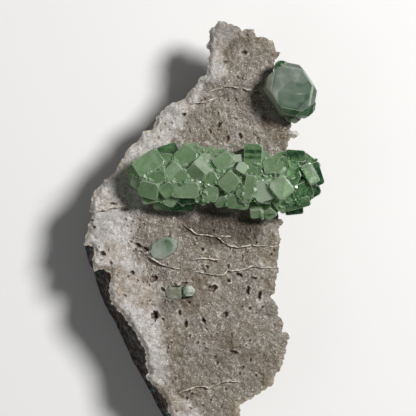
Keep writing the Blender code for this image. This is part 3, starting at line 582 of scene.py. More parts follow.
def node_footprint(node, shrink):
    """The plan hull of a CAD node in millimetres, drawn in a little."""
    plan = [Vector((vert.co.x, vert.co.y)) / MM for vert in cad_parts[node].data.vertices]
    hull = [plan[index] for index in convex_hull_2d(plan)]
    hull = [point for point, before in zip(hull, hull[-1:] + hull[:-1]) if (point - before).length > 0.01]
    centre = sum(hull, Vector((0.0, 0.0))) / len(hull)
    return [tuple(point + (centre - point).normalized() * shrink) for point in hull]


def stained(add, place, colour):
    """Slow changes of tone that run through the whole crust, with hollows and the cream rim on top."""
    layers = []
    for size, detail, roughness, places, colours in (STAINS, MOTTLING, HOLLOW_LINING_AND_SHADE):
        waves = add("ShaderNodeTexNoise", {
            "Vector": place, "Scale": per_metre(size), "Detail": detail, "Roughness": roughness})
        layers.append(add("ShaderNodeValToRGB", [waves], stops=zip(places, colours)))
    shade_and_dark, cream, hollow_lining_and_shade = (
        add("ShaderNodeAttribute", output="Fac", attribute_name=name)
        for name in ("shade_and_dark", "cream", "hollow_lining_and_shade"))
    # painted shade under the bar and the darker patches multiply the colour
    for share, layer, blend in (
            (1.0, layers[0], "MULTIPLY"), (1.0, layers[1], "MULTIPLY"),
            (shade_and_dark, linear(SHADE_AND_DARK_COLOUR), "MULTIPLY"), (cream, linear(CREAM_COLOUR), "MIX"),
            (hollow_lining_and_shade, layers[2], "MIX")):
        colour = add(
            "ShaderNodeMix", {0: share, 6: colour, 7: layer}, 2, data_type="RGBA", blend_type=blend)
    return colour


# chalcedony, grown in layers and broken: waxy to dull, white where it is smooth, brownish where a
# fine druse covers it, cream along its outer rim
chalcedony, add, shader, place = new_material("grown_chalcedony")
specks, mottle = (
    add("ShaderNodeTexNoise", {
        "Vector": place, "Scale": per_metre(size), "Detail": detail, "Roughness": roughness})
    for size, detail, roughness in ((SPECK_SIZE, 3.0, 0.75), (GREY_PATCH, 4.0, 0.7)))
druse, white = (
    add("ShaderNodeValToRGB", [specks], stops=zip(places, colours))
    for places, colours in (
        ((0.32, 0.44, 0.53, 0.62, 0.74), DRUSE_COLOURS), ((0.3, 0.44, 0.55, 0.7), PALE_COLOURS)))
greyed = add("ShaderNodeMapRange", [mottle, 0.5, 0.65, 0.0, 0.5])
white = add("ShaderNodeMix", {0: greyed, 6: white, 7: linear(PALE_GREY)}, 2, data_type="RGBA")
pale = add("ShaderNodeAttribute", output="Fac", attribute_name="pale")
colour = add("ShaderNodeMix", {0: pale, 6: druse, 7: white}, 2, data_type="RGBA")
gloss = add("ShaderNodeMapRange", [specks, 0.4, 0.7, 0.75, 0.3])
bump = add("ShaderNodeBump", {"Height": specks, "Distance": 0.0003, "Strength": 0.6})
link_inputs(shader, Base_Color=stained(add, place, colour), Roughness=gloss, Normal=bump)

pockets = [node_footprint(f"apophyllite_crystal_{which}", POCKET_ROOM) for which in ("middle", "lower")]
rim, outward = resampled(CRUST_OUTLINE, RIM_SPACING)
notches = 1.0 - smooth(np.abs(swell(rim, LUMP_SIZE, 20)) * 2.6) + 0.4 * swell(rim, 1.3, 21)
rim = rim - outward * (RIM_RAGGED * np.maximum(notches, 0.0))[:, None]
detail = scattered(FINE_SPACING, 0.06, 8)
plan = np.vstack([scattered(FACE_SPACING, 0.13, 3), detail])
busy = np.zeros(len(plan), dtype=bool)
for cavity in CAVITIES + PITS:
    near, away = near_cavity(plan, cavity, cavity[2] + 2.0 * FINE_REACH)
    busy[near] |= away < 1.0 + FINE_REACH / cavity[3]
for line in LEDGES:
    busy |= distance_to_line(plan, line)[0] < FINE_REACH + 0.4
busy[-len(detail):] ^= True
plan = plan[~busy]
plan = plan[inside_ring(plan, rim)]
plan = plan[distance_to_line(plan, rim, True)[0] > 0.3]
deep_seat = inside_ring(plan, BAR_SEAT) & (distance_to_line(plan, BAR_SEAT, True)[0] > 3.0)
plan = plan[~deep_seat | (np.arange(len(plan)) % 5 == 0)]
face_plan, faces = triangulated(rim, plan)
points = list(np.column_stack([face_plan, crust_face(face_plan, pockets)]))

# Its broken rim, down to the basalt
top = crust_face(rim, [])
bottom = contact_height(rim - outward * RIM_UNDERCUT)
walls = [np.column_stack([rim, top])]
for level in np.linspace(0.0, 1.0, RIM_LEVELS)[1:]:
    height = top + level * (bottom - top)
    inset = RIM_UNDERCUT * level * np.ones(len(rim))
    if level < 1.0:
        height = height + 0.35 * swell(rim, 6.0, 9)
        probe = np.column_stack([rim, height])
        inset = inset + 0.3 + 0.35 * solid_noise(probe, 2.4, 3) + 0.3 * solid_noise(probe, 1.0, 4)
    walls.append(np.column_stack([rim - outward * inset[:, None], height]))
for upper, under in zip(walls, walls[1:]):
    first = len(points)
    count = len(upper)
    points += [*upper, *under]
    for index in range(count):
        after = (index + 1) % count
        faces.append((first + index, first + after, first + count + after, first + count + index))

# Its underside, hidden against the basalt
low_ring = walls[-1][:, :2]
plan = scattered(UNDERSIDE_SPACING, 1.0, 4)
plan = plan[inside_ring(plan, low_ring)]
plan = plan[distance_to_line(plan, low_ring, True)[0] > 1.5]
under_plan, under_faces = triangulated(low_ring, plan)
first = len(points)
under_height = contact_height(under_plan)
under_height[:len(low_ring)] = bottom
points += list(np.column_stack([under_plan, under_height]))
faces += [tuple(first + corner for corner in reversed(face)) for face in under_faces]
crust = new_piece(
    "chalcedony_crust_face", new_mesh("chalcedony_crust_face", points, faces=faces), chalcedony)

# Shares of white, of painted shade and darker patches, of hollows with their painted shade, and of cream
# over it
points = read_points(crust)
plan = points[:, :2]
edge = distance_to_line(plan, CRUST_OUTLINE, True)[0]
pale = pale_share(plan)
ring = np.zeros(len(plan))
for cavity in CAVITIES + PITS:
    near, away = near_cavity(plan, cavity, cavity[2] + 2.0)
    width = min(RING_WIDTH, 0.8 * cavity[3])
    outside = (away - 1.0) * cavity[3]
    ring[near] = np.maximum(ring[near], smooth(1.0 - np.abs(outside - 0.7 * width) / width))
wall = smooth((CRUST_TOP - 2.3 - points[:, 2]) / 1.5)
left_rim = smooth((1.0 - edge / 1.8) * 1.4) * smooth((-12.0 - plan[:, 0]) / 8.0)
low_rim = smooth((1.0 - edge / 3.0) * 1.4) * smooth((-62.0 - plan[:, 1]) / 8.0)
for name, values in (
        ("pale", np.maximum(pale, 0.8 * ring * smooth(swell(plan, 1.9, 30) * 3.0 + 0.4))),
        ("shade_and_dark", shade_and_dark_share(plan)), ("hollow_lining_and_shade", smooth(cavity_depth(plan) / 1.2 - 0.1) * 0.85),
        ("cream", np.maximum.reduce([0.4 * left_rim, 0.3 * low_rim, 0.6 * wall]))):
    store(crust, name, values)
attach(crust, "root")
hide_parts("chalcedony_crust")

# DRUSE
# Countless tiny quartz points that coat the chalcedony, partly sunk in it and tilted every way, so
# that a few of them always catch the light. They are sparse on the white zone.

POINT_WIDTH = 0.5           # across an ordinary quartz point
POINT_HEIGHT = 0.34
POINT_SPACING = 0.46        # least distance between two points
POINT_SINK = 0.3            # share of a point's height that is sunk in the crust
POINT_SIZES = (0.55, 1.35)  # smallest and largest, as shares of an ordinary one
POINT_TILT = 0.5            # radians
FULL_TURN = 6.283


def new_tree(name, **inputs):
    """A function that adds a node to a new geometry tree, and the outputs of the tree's named inputs."""
    tree = bpy.data.node_groups.new(name, "GeometryNodeTree")
    for in_out in ("OUTPUT", "INPUT"):
        tree.interface.new_socket(name="Geometry", in_out=in_out, socket_type="NodeSocketGeometry")
    for title, value in inputs.items():
        kind = "NodeSocketInt" if isinstance(value, int) else "NodeSocketFloat"
        tree.interface.new_socket(name=title, in_out="INPUT", socket_type=kind).default_value = value
    return partial(add_node, tree), tree.nodes.new("NodeGroupInput").outputs


def end_tree(add, made, material, tone=None):
    """Gives each instance its tone, if there is one, and makes them a mesh of that material."""
    if tone is not None:
        made = add("GeometryNodeStoreNamedAttribute", {"Geometry": made, "Name": "tone", "Value": tone},
                   data_type="FLOAT", domain="INSTANCE")
    real = add("GeometryNodeRealizeInstances", [made])
    final = add("GeometryNodeSetMaterial", {"Geometry": real, "Material": material})
    tree = final.id_data
    tree.links.new(final, tree.nodes.new("NodeGroupOutput").inputs["Geometry"])
    return tree


def scatter_tree(material):
    """Grows six-sided points over a face, one on each scattered place, turned and tilted at random."""
    add, given = new_tree("quartz_druse", Width=1.0, Height=1.0, Spacing=1.0, Tilt=0.5, Seed=1)
    places = add("GeometryNodeDistributePointsOnFaces", {
        "Mesh": given["Geometry"], "Distance Min": given["Spacing"], "Density Max": 6.0e6,
        "Density Factor": add("GeometryNodeInputNamedAttribute", {"Name": "druse"}, data_type="FLOAT"),
        "Seed": given["Seed"],
    }, distribute_method="POISSON")
    tilt_back, radius, sink = (
        add("ShaderNodeMath", [given[name], share], operation="MULTIPLY")
        for name, share in (("Tilt", -1.0), ("Width", 0.5), ("Height", -POINT_SINK)))
    tilt = given["Tilt"]
    low, high, sunk = (
        add("ShaderNodeCombineXYZ", vector)
        for vector in ([tilt_back, tilt_back, 0.0], [tilt, tilt, FULL_TURN], [0.0, 0.0, sink]))
    turn = add("FunctionNodeRandomValue", {0: low, 1: high, "Seed": 5}, data_type="FLOAT_VECTOR")
    rotation = add("FunctionNodeRotateRotation", {
        "Rotation": places.node.outputs["Rotation"], "Rotate By": turn}, rotation_space="LOCAL")
    point = add("GeometryNodeMeshCone", {
        "Vertices": 6, "Side Segments": 1, "Radius Top": 0.0, "Radius Bottom": radius,
        "Depth": given["Height"]}, "Mesh")
    lowered = add("GeometryNodeTransform", {"Geometry": point, "Translation": sunk})
    size, tone = (
        add("FunctionNodeRandomValue", {2: least, 3: most, "Seed": seed}, 1, data_type="FLOAT")
        for least, most, seed in ((*POINT_SIZES, 6), (0.0, 1.0, 7)))
    grown = add("GeometryNodeInstanceOnPoints", {
        "Points": places, "Instance": lowered, "Rotation": rotation, "Scale": size})
    return end_tree(add, grown, material, tone)


def grow(piece, tree, values):
    """Runs a geometry tree on the piece with the values of its named inputs, and keeps the result."""
    modifier = piece.modifiers.new(tree.name, "NODES")
    modifier.node_group = tree
    for item in tree.interface.items_tree:
        if item.item_type == "SOCKET" and item.in_out == "INPUT" and item.name in values:
            modifier[item.identifier] = values[item.name]
    bake_modifiers(piece)


# quartz, grown as clear tiny points with glassy faces: most look like the stone under them, a few are
# painted near white as glints and some look dark
quartz, add, shader, place = new_material("quartz_points", IOR=1.544)
tone, pale_zone = (
    add("ShaderNodeAttribute", output="Fac", attribute_name=name) for name in ("tone", "pale"))
druse, white = (add("ShaderNodeValToRGB", [tone], stops=stops) for stops in (
    [(0.0, "3B342C"), (0.1, "6B645A"), (0.4, "8A8378"), (0.7, "9D968B"), (0.9, "BAB4AA"), (0.95, "FDFBF6")],
    [(0.0, "7A7672"), (0.15, "B4B0AC"), (0.6, "D1CDC9"), (0.93, "F4F1ED")]))
colour = add("ShaderNodeMix", {0: pale_zone, 6: druse, 7: white}, 2, data_type="RGBA")
gloss = add("ShaderNodeMapRange", [tone, 0.5, 1.0, 0.5, 0.12])
link_inputs(shader, Base_Color=stained(add, place, colour), Roughness=gloss)

# it starts as a copy of the crust
druse_points = crust.copy()
druse_points.data = crust.data.copy()
druse_points.name = druse_points.data.name = "quartz_druse"
bpy.context.scene.collection.objects.link(druse_points)
covered = inside_ring(plan, BAR_SEAT) & (distance_to_line(plan, BAR_SEAT, True)[0] > 4.0)
bare = (points[:, 2] < CRUST_TOP - 4.5) | covered
for pocket in pockets:
    bare |= inside_ring(plan, pocket)
store(druse_points, "druse", np.where(bare, 0.0, 1.0 - 0.72 * pale))
grow(druse_points, scatter_tree(quartz), {
    "Width": POINT_WIDTH * MM, "Height": POINT_HEIGHT * MM, "Spacing": POINT_SPACING * MM,
    "Tilt": POINT_TILT, "Seed": 3,
})
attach(druse_points, "root")

# LIPS OF THE LEDGES
# Thin rims of cream chalcedony that stand up along the ledges of the crust. They grew as one with it
# and run out towards their ends.

LIP_WIDTH = 0.62
LIP_STEP = 0.5              # between the points along a lip
LIP_LEAST = 0.25            # least thickness, as a share of the width
LIP_SINK = 0.04
LIP_WAVES = 1.5             # size of the tones along it
LIP_LINES = LEDGES + [
    [(5, -5.2), (7.5, -6.2), (12, -6.4)],
    [(-40, 5.5), (-33, 7.8), (-28.5, 7.2)],
    [(-38, 9.3), (-33.5, 9.6)],
    [(-19, 39.5), (-17.5, 42), (-14, 44.5)],
    [(-14, -75.5), (-9.5, -76), (-6, -75)],
]


def lip_tree(material):
    """Sweeps a round section along each line, thinner towards its ends."""
    add, given = new_tree("ledge_lips", Width=1.0)
    share = add("GeometryNodeInputNamedAttribute", {"Name": "thickness"}, data_type="FLOAT")
    line = add("GeometryNodeSetCurveRadius", {
        "Curve": add("GeometryNodeMeshToCurve", [given["Geometry"]]), "Radius": share})
    radius = add("ShaderNodeMath", [given["Width"], 0.5], operation="MULTIPLY")
    section = add("GeometryNodeCurvePrimitiveCircle", {"Resolution": 6, "Radius": radius}, mode="RADIUS")
    swept = add("GeometryNodeCurveToMesh", {
        "Curve": line, "Profile Curve": section, "Fill Caps": True, "Scale": share})
    return end_tree(add, swept, material)


def evened(values, times):
    """Values along a line with their ups and downs evened out between its ends."""
    for _ in range(times):
        values[1:-1] = 0.25 * values[:-2] + 0.5 * values[1:-1] + 0.25 * values[2:]
    return values


# chalcedony again, in a clean cream rim with a waxy gloss
lip_material, add, shader, place = new_material("cream_chalcedony", Roughness=0.45)
waves = add("ShaderNodeTexNoise", {
    "Vector": place, "Scale": per_metre(LIP_WAVES), "Detail": 3.0, "Roughness": 0.6})
cream = add("ShaderNodeValToRGB", [waves], stops=[
    (0.35, "9C9283"), (0.5, "BDB4A5"), (0.65, "DAD2C5")])
bump = add("ShaderNodeBump", {"Height": waves, "Distance": 0.0002, "Strength": 0.5})
link_inputs(shader, Base_Color=cream, Normal=bump)

lip_points = []
lip_edges = []
thickness = []
for line in LIP_LINES:
    lip = evened(np.array(stepped(line, LIP_STEP) + [line[-1]], dtype=float), 3)
    lip[:, 1] -= ledge_wander(lip)
    height = np.maximum(crust_face(lip + (0.0, 0.5), pockets), crust_face(lip + (0.0, 0.25), pockets))
    height = evened(height - LIP_SINK, 2)
    share = np.linspace(0.0, 1.0, len(lip))
    thick = (0.5 + 0.5 * smooth(np.minimum(share, 1.0 - share) * 8.0)) * (
        0.85 + 0.9 * swell(lip, 3.5, 24) + 0.8 * swell(lip, 1.0, 25))
    first = len(lip_points)
    lip_points += [*np.column_stack([lip, height])]
    lip_edges += [(first + index, first + index + 1) for index in range(len(lip) - 1)]
    thickness += list(np.maximum(thick, LIP_LEAST))
lips = new_object("ledge_lips", new_mesh("ledge_lips", lip_points, lip_edges))
store(lips, "thickness", thickness)
grow(lips, lip_tree(lip_material), {"Width": LIP_WIDTH * MM})
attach(lips, "root")

# BAR OF APOPHYLLITE
# Blocky green crystals grown into each other in one bar, standing on the crust. They are square
# prisms with flat ends, clear to milky inside, with highlights painted along their rounded edges.

EDGE_ROUND = 0.22           # rounding of the outward edges
EDGE_LEAST = 20.0           # degrees between faces for an edge to be rounded and painted pale as a highlight
STEP_WIDTH = 0.5            # rim of a growth step on a crystal's face
STEP_HEIGHT = 0.08
STEP_LEAST_AREA = 8.0       # square millimetres
FLAT_ANGLE = 0.6            # degrees between triangles of one face
FACE_TONES = (0.35, 0.7)    # of the faces that BAR_TONES leaves out
APOPHYLLITE_IOR = 1.536
APOPHYLLITE_CLEAR = 0.68    # share of the light that goes in rather than scattering at the face
DEPTH_COLOUR = "90C787"
DEPTH_DENSITY = 60.0        # absorption per metre
# painted highlight colour of the rounded edges
EDGE_HIGHLIGHT_COLOUR = "E4EEDA"
ROUNDED_EDGE_ROUGHNESS = 0.4
# Parts inside the bar that are lighter or darker: middle, half sizes and change of tone. The first is
# painted glow in the clearest crystal, as if it lit up inside, and the next two are bands across a prism.
BAR_SPOTS = [
    ((26.5, 12.8, 44), (5, 7, 14), 0.7), ((21.3, 29.2, 44), (7, 1.1, 12), -0.3),
    ((21.3, 26.6, 44), (7, 0.9, 12), -0.25),
]
# Single faces of the bar: place, reach and tone, from 0, deep green, to 1, pale. Tones of about 1 and
# above are painted highlights of faces that would mirror the light, and the one at (27.4, 12.8) is painted
# glow
BAR_TONES = [
    (-15.3, 30.4, 4.5, 0.15), (-23.3, 24.6, 4, 0.42), (-22.8, 12.8, 4, 0.5), (-14.9, 12.4, 3.2, 0.45),
    (-6.9, 12.8, 5, 0.7), (-0.6, 24.2, 2.2, 0.95), (4.5, 23.7, 1.8, 1.1), (14.1, 26.7, 2, 1.1),
    (16.6, 22.5, 2.4, 1.15), (11.2, 16.6, 4, 0.52), (21.3, 25.8, 4.5, 0.3), (27.4, 12.8, 3.5, 1.1),
    (32.6, 14.1, 3, 0.66), (44.8, 20.4, 3, 0.4), (-16.5, 5.7, 3.5, 0.5), (-8.6, 5.7, 5, 0),
    (28, 2.3, 3, 0.6), (33.4, 6.5, 3, 0.5),
]
DARK_END = 34.5             # crystals beyond this x are deep green
DARK_END_TONES = (0.02, 0.22)


def convex_face(face, least_edge):
    """True if no corner of the face turns inwards and no edge is short."""
    if min(edge.calc_length() for edge in face.edges) < least_edge:
        return False
    corners = [vert.co for vert in face.verts]
    for before, corner, after in zip(corners[-1:] + corners[:-1], corners, corners[1:] + corners[:1]):
        if (corner - before).cross(after - corner).dot(face.normal) < 0.0:
            return False
    return True


def crystal_piece(
        node, name, material, tones, dark_end=1000.0, step_width=STEP_WIDTH, edge_round=EDGE_ROUND):
    """The node's shape with growth steps on its larger faces and rounded outward edges, painted pale as
    highlights.
    """
    piece = merged_copy(node, name, material)
    piece.data.materials.append(material)       # tells the rounded edges apart until they are stored
    shell = bmesh.new()
    shell.from_mesh(piece.data)
    bmesh.ops.dissolve_limit(
        shell, angle_limit=math.radians(FLAT_ANGLE), verts=shell.verts, edges=shell.edges,
        use_dissolve_boundaries=False)
    layer = shell.faces.layers.float.new("face_tone")
    weight = shell.edges.layers.float.new("bevel_weight_edge")
    draw = np.random.RandomState(5)
    for face in shell.faces:
        centre = face.calc_center_median() / MM
        face[layer] = draw.uniform(*(FACE_TONES if centre.x < dark_end else DARK_END_TONES))
        for x, y, reach, tone in tones:
            if face.normal.z > 0.05 and math.hypot(centre.x - x, centre.y - y) < reach:
                face[layer] = tone
    outward = []
    for edge in shell.edges:
        if len(edge.link_faces) == 2 and edge.is_convex and edge.calc_length() > 1.5 * edge_round * MM:
            if edge.calc_face_angle() > math.radians(EDGE_LEAST):
                outward.append(edge)
    broad = [
        face for face in shell.faces
        if face.calc_area() > STEP_LEAST_AREA * MM ** 2 and face.normal.z > 0.25
        and convex_face(face, 2.2 * step_width * MM)
    ]
    bmesh.ops.inset_individual(
        shell, faces=broad, thickness=step_width * MM, depth=STEP_HEIGHT * MM, use_even_offset=True)
    for edge in outward:
        edge[weight] = 1.0
    shell.to_mesh(piece.data)
    shell.free()
    rounding = piece.modifiers.new("rounded_edges", "BEVEL")
    rounding.width = edge_round * MM
    rounding.segments = 2
    rounding.limit_method = "WEIGHT"
    rounding.use_clamp_overlap = False
    rounding.material = 1
    bake_modifiers(piece)
    faces = piece.data.polygons
    edge_highlight = piece.data.attributes.new("edge_highlight", "FLOAT", "FACE")
    edge_highlight.data.foreach_set("value", [float(face.material_index) for face in faces])
    faces.foreach_set("material_index", [0] * len(faces))
    piece.data.materials.pop(index=1)
    return piece


def apophyllite(name, colours, roughness, depth_colour, veils, cloud_size, spots, edge_highlight_share, zones=(),
                cloud_change=0.1, clear=0.5, density=40.0):
    """Crystal, clear to milky: flat veils inside it differ a little, and so does each face. Its tone
    picks one of its colours, darkest first. A veil is a size and a change of tone."""
    material, add, shader, place = new_material(
        name, IOR=APOPHYLLITE_IOR, Specular_IOR_Level=0.4, Transmission_Weight=clear, Subsurface_Weight=0.3,
        Subsurface_Radius=(0.6, 1.0, 0.6), Subsurface_Scale=0.003)
    face_tone, edge_highlight = (
        add("ShaderNodeAttribute", output="Fac", attribute_name=name)
        for name in ("face_tone", "edge_highlight"))
    cloud = add("ShaderNodeTexNoise", {
        "Vector": place, "Scale": per_metre(cloud_size), "Detail": 3.0, "Roughness": 0.7})
    changes = [(cloud, 0.3, 0.7, -cloud_change, cloud_change)]
    for size, change in veils:
        cells = add("ShaderNodeTexVoronoi", {"Vector": place, "Scale": per_metre(size)}, "Color")
        level = add("ShaderNodeSeparateColor", [cells])
        changes.append((level, 0.0, 1.0, -change, change))
    for middle, size, change in [*spots, *zones]:
        away = add("ShaderNodeVectorMath", [place, [value * MM for value in middle]], operation="SUBTRACT")
        if isinstance(size, tuple):
            away = add("ShaderNodeVectorMath", [away, [value * MM for value in size]], operation="DIVIDE")
            away = add("ShaderNodeVectorMath", [away], 1, operation="LENGTH")
            changes.append((away, 1.0, 0.4, 0.0, change))
        else:
            rings = add("ShaderNodeTexWave", {
                "Vector": away, "Scale": 0.314 * per_metre(size), "Distortion": 4.0, "Detail": 2.0,
            }, 1, wave_type="RINGS", rings_direction="SPHERICAL")
            changes.append((rings, 0.0, 1.0, -change, change))
    tone = face_tone
    for change in changes:
        change = add("ShaderNodeMapRange", change)
        tone = add("ShaderNodeMath", [tone, change], operation="ADD")
    colour = add("ShaderNodeValToRGB", [tone], stops=zip((0.0, 0.3, 0.6, 1.0), colours))
    # painted highlight: the rounded edges turn pale and a little rougher
    edge_highlight = add("ShaderNodeMapRange", [edge_highlight, 0.0, 1.0, 0.0, edge_highlight_share])
    colour = add("ShaderNodeMix", {0: edge_highlight, 6: colour, 7: linear(EDGE_HIGHLIGHT_COLOUR)}, 2, data_type="RGBA")
    rough, polish = (
        add("ShaderNodeMapRange", spread)
        for spread in ((level, 0.0, 1.0, roughness, roughness * 1.7), (face_tone, 0.1, 0.35, 0.6, 1.0)))
    rough = add("ShaderNodeMath", [rough, polish], operation="MULTIPLY")
    rough = add("ShaderNodeMix", {0: edge_highlight, 2: rough, 3: ROUNDED_EDGE_ROUGHNESS}, data_type="FLOAT")
    link_inputs(shader, Base_Color=colour, Roughness=rough)
    depth = add("ShaderNodeVolumeAbsorption", {"Color": linear(depth_colour), "Density": density})
    tree = material.node_tree
    tree.links.new(depth, tree.nodes["Material Output"].inputs["Volume"])
    return material


# apophyllite, grown: vitreous, and greener where it is deeper
green = apophyllite(
    "clear_green_apophyllite", ("264F33", "86AE7A", "B4D1A4", "E6FFDD"), roughness=0.13,
    depth_colour=DEPTH_COLOUR, density=DEPTH_DENSITY, clear=APOPHYLLITE_CLEAR,
    veils=((4.5, 0.08), (1.9, 0.06)), cloud_size=1.3, spots=BAR_SPOTS, edge_highlight_share=0.75)
bar = crystal_piece("apophyllite_band", "apophyllite_bar", green, BAR_TONES, DARK_END)
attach(bar, "root")
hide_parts("apophyllite_band")

# LARGE CRYSTAL
# One stout apophyllite crystal that grew on the upper right edge of the crust, with a few small ones
# against it. It is hazy with fine inclusions, so that little of its inside shows.

LARGE_STEP = 0.8            # rim of its growth steps
LARGE_ROUND = 0.16
# Its faces, as BAR_TONES: greyer at the top left, deep green at the top and the lower right. The steep
# left faces at (28.2, 58.5), (30, 50.4) and (26.5, 58.1) are painted pale as light glowing through them
LARGE_TONES = [
    (37.5, 55.5, 2, 0.45), (32.2, 65.6, 1.5, 0.1), (43.1, 45.4, 1.5, 0.25), (46.5, 52.3, 1.5, 0.5),
    (37.9, 65.1, 1.5, 0.4), (28.2, 58.5, 1.5, 0.9), (30, 50.4, 1.5, 1), (26.5, 58.1, 1.5, 1),
    (36.8, 45.7, 1, 0.45), (35.9, 44.1, 1, 0.9), (38.7, 43, 1, 0.9), (41.5, 43.6, 1, 0.8),
    (36.3, 42.9, 0.8, 1),
]
# Parts inside it, as BAR_SPOTS
LARGE_SPOTS = [
    ((34, 61.5, 43), (9, 8, 12), 0.13), ((39, 45.8, 43), (2.6, 1.8, 12), -0.35),
    ((41.6, 48.4, 43), (2.8, 2.1, 12), -0.5), ((43.9, 51.2, 43), (2, 2.4, 12), -0.45),
    ((40.4, 57, 43), (2.8, 1.5, 12), -0.25), ((41, 53.2, 43), (2.6, 0.7, 12), 0.3),
    # painted light on the shaded left side
    ((30.5, 52, 40), (2.5, 7, 12), 0.3),
]
# Growth zones round a middle point: their width and change of tone
LARGE_ZONES = [((36, 59, 30), 3.2, 0.07)]
# apophyllite with a haze of fine inclusions near its faces
haze = apophyllite(
    "hazy_apophyllite", ("1F4026", "44664A", "6C7B6B", "C0C3B0"), roughness=0.24,
    depth_colour="B0C9AE", veils=((9.0, 0.03),), cloud_size=4.0, cloud_change=0.15,
    spots=LARGE_SPOTS, zones=LARGE_ZONES, edge_highlight_share=0.45)
large = crystal_piece(
    "apophyllite_crystal_upper", "large_apophyllite", haze, LARGE_TONES, step_width=LARGE_STEP,
    edge_round=LARGE_ROUND)
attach(large, "root")
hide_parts("apophyllite_crystal_upper")

# BLOCKS IN THE JOINS
# Blocks of the same apophyllite, about a millimetre wide, that grew in the joins between the big
# crystals and are tilted every way, so that some of them always glint.

BLOCK_WIDTH = 1.15
BLOCK_STRETCHES = (0.45, 1.35)
BLOCK_STEP = 0.9            # between the places along a join
BLOCK_SHARE = 0.75          # of the places that have a block
JOIN_ANGLE = 25.0           # least angle between the faces of a join, in degrees
BLOCKS_ABOVE = 33.0         # least height
BLOCKS_WITHIN = 48.5        # largest x, either way
DARK_FADE = 6.0             # blocks turn green over this width past DARK_END
DARK_BLOCK_TONE = 0.22      # share of a block's tone that is left there
BLOCK_TONES = (0.25, 1.0)


def join_places(pieces):
    """Places along the inward edges of the crystals that can be seen from above."""
    draw = np.random.RandomState(17)
    places = []
    for piece in pieces:
        shell = bmesh.new()
        shell.from_mesh(piece.data)
        for edge in shell.edges:
            if len(edge.link_faces) != 2 or edge.is_convex:
                continue
            if edge.calc_face_angle() < math.radians(JOIN_ANGLE):
                continue
            up = edge.link_faces[0].normal + edge.link_faces[1].normal
            start, end = (vert.co / MM for vert in edge.verts)
            for share in np.arange(draw.uniform(), edge.calc_length() / (BLOCK_STEP * MM)):
                place = start.lerp(end, share * BLOCK_STEP * MM / edge.calc_length())
                if draw.uniform() < BLOCK_SHARE and up.z > 0.4 and place.z > BLOCKS_ABOVE:
                    if abs(place.x) < BLOCKS_WITHIN:
                        places.append(place + up * draw.uniform(-0.1, 0.2))
        shell.free()
    return places


def block_tree(material):
    """Sets a square block on each point, turned and sized at random, with a tone of its own that is
    greener in the dark end of the bar."""
    add, given = new_tree("joined_blocks", Width=1.0, Seed=1)
    points = add("GeometryNodeMeshToPoints", [given["Geometry"]])
    size = add("ShaderNodeCombineXYZ", [given["Width"]] * 3)
    block = add("GeometryNodeMeshCube", {"Size": size})
    turn, stretch = (
        add("FunctionNodeRandomValue", {0: [low] * 3, 1: [high] * 3, "Seed": given["Seed"]},
            data_type="FLOAT_VECTOR")
        for low, high in ((0.0, FULL_TURN), BLOCK_STRETCHES))
    grown = add("GeometryNodeInstanceOnPoints", {
        "Points": points, "Instance": block, "Rotation": turn, "Scale": stretch})
    across = add("ShaderNodeSeparateXYZ", [add("GeometryNodeInputPosition")])
    paleness = add("ShaderNodeMapRange", [
        across, DARK_END * MM, (DARK_END + DARK_FADE) * MM, 1.0, DARK_BLOCK_TONE])
    least, most = BLOCK_TONES
    tone = add("FunctionNodeRandomValue", {2: least, 3: most, "Seed": 7}, 1, data_type="FLOAT")
    tone = add("ShaderNodeMath", [tone, paleness], operation="MULTIPLY")
    return end_tree(add, grown, material, tone)


# apophyllite in small blocks, too thin to look deep green: pale, vitreous
pale_blocks, add, shader, place = new_material(
    "pale_apophyllite_blocks", IOR=APOPHYLLITE_IOR, Transmission_Weight=0.6)
tone = add("ShaderNodeAttribute", output="Fac", attribute_name="tone")
colour = add("ShaderNodeValToRGB", [tone], stops=[
    (0.0, "3F6F44"), (0.25, "7FA877"), (0.62, "B4D3A7"), (0.89, "D2E8C6"), (1.0, "F6FFF0")])
gloss = add("ShaderNodeMapRange", [tone, 0.0, 1.0, 0.25, 0.1])
link_inputs(shader, Base_Color=colour, Roughness=gloss)

blocks = new_object("apophyllite_blocks", new_mesh("apophyllite_blocks", join_places([bar, large])))
grow(blocks, block_tree(pale_blocks), {"Width": BLOCK_WIDTH * MM, "Seed": 4})
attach(blocks, "root")

# SMALL CRYSTALS
# Two small groups of crystals sunk in the crust below the bar: the upper one is hazy grey-green, the
# lower one is brownish on the left and clear green with pale facets on the right, one with a painted glint.

SMALL_ROUND = 0.06          # rounding of their edges
# Tones of their faces and parts inside them, as BAR_TONES and BAR_SPOTS
MIDDLE_TONES = [(-16.5, -11.5, 8, 0.6)]
MIDDLE_SPOTS = [
    ((-14.6, -9.8, 32), (3.2, 3.4, 8), -0.32), ((-15.6, -8.2, 32), (2.6, 1, 8), -0.2),
    ((-19, -13, 32), (3, 3, 8), 0.15),
]
LOWER_TONES = [(-12.2, -30, 4, 0.6), (-5.7, -29, 1.2, 0.72), (-5.8, -31.6, 1.2, 0.1)]
LOWER_SPOTS = [
    ((-7.4, -29, 33), (1.7, 2.6, 8), -0.75), ((-5.2, -30.2, 33), (2.4, 0.7, 8), -0.5),
    # painted glint on the upper right facet
    ((-4.9, -27.7, 33), (1.2, 0.8, 8), 0.3),
]
# apophyllite, hazy and pale, with one clear green part
pale_haze = apophyllite(
    "pale_hazy_apophyllite", ("4E7050", "8FA48A", "AEB9A8", "CDD2C6"), roughness=0.3,
    depth_colour="A6C9A6", veils=((2.5, 0.06), (1.1, 0.06)), cloud_size=1.6, cloud_change=0.16,
    spots=MIDDLE_SPOTS, edge_highlight_share=0.3)
middle = crystal_piece(
    "apophyllite_crystal_middle", "middle_apophyllite", pale_haze, MIDDLE_TONES, edge_round=SMALL_ROUND)
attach(middle, "root")
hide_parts("apophyllite_crystal_middle")
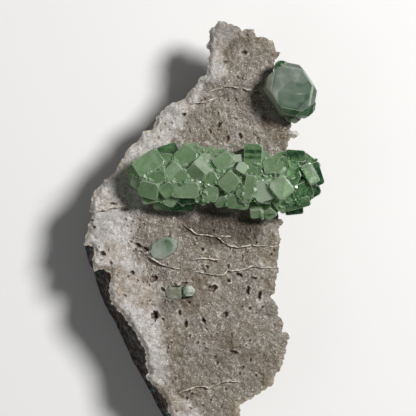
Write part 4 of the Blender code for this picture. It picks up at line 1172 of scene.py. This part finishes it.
# the same, stained brown by the stone it sits in, with one clear green end
brown = apophyllite(
    "brown_stained_apophyllite", ("3B6340", "7F8A72", "9C9983", "D8DECF"), roughness=0.35,
    depth_colour="B4B894", veils=((2.2, 0.1), (0.9, 0.1)), cloud_size=1.2, cloud_change=0.2,
    spots=LOWER_SPOTS, edge_highlight_share=0.4)
lower = crystal_piece(
    "apophyllite_crystal_lower", "lower_apophyllite", brown, LOWER_TONES, edge_round=SMALL_ROUND)
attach(lower, "root")
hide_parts("apophyllite_crystal_lower")

# STUDIO
# Soft daylight from the upper right and a weak fill from the left, over a plain pale floor. The
# specimen lies on its back and the camera looks straight down on it.

FLOOR_COLOUR = "E9E8E6"
FLOOR_REACH = 2000
FLOOR_LEVEL = -0.2          # a little below the specimen's flat back
SKY_COLOUR = "F4F6FA"
SKY_STRENGTH = 0.1
# Places and widths in metres from here on
LIT_PLACE = (0, 0, 0.03)
LIGHTS = {                  # place, width and power in watts
    "key": ((0.835, 0.482, 1.179), 0.42, 28.5),
    "fill": ((-0.7, -0.3, 0.7), 0.7, 0.7),
}
CAMERA_PLACE = (0.002352, 0.00567, 1.487)
CAMERA_LENS = 300.0
# matt paint
floor_material = new_material("floor", Roughness=0.9, Base_Color=linear(FLOOR_COLOUR))[0]
corners = [(x * FLOOR_REACH, y * FLOOR_REACH, FLOOR_LEVEL) for x, y in ((-1, -1), (1, -1), (1, 1), (-1, 1))]
floor_mesh = new_mesh("floor", corners, faces=[(0, 1, 2, 3)])
floor_mesh.materials.append(floor_material)
floor = new_object("floor", floor_mesh)

world = bpy.data.worlds.new("studio")
bpy.context.scene.world = world
world.use_nodes = True
sky = world.node_tree.nodes["Background"].inputs
sky["Color"].default_value = linear(SKY_COLOUR)
sky["Strength"].default_value = SKY_STRENGTH

for name, (place, width, power) in LIGHTS.items():
    light = bpy.data.lights.new(name, "AREA")
    light.shape = "DISK"
    light.size = width
    light.energy = power
    lamp = new_object(name, light)
    lamp.location = place
    lamp.rotation_euler = (Vector(LIT_PLACE) - Vector(place)).to_track_quat("-Z", "Y").to_euler()

camera = bpy.data.cameras.new("camera")
camera.lens = CAMERA_LENS
camera.sensor_width = 36.0
camera.clip_end = 10.0
viewer = new_object("camera", camera)
viewer.location = CAMERA_PLACE
bpy.context.scene.camera = viewer
bpy.context.scene.view_settings.view_transform = "Standard"
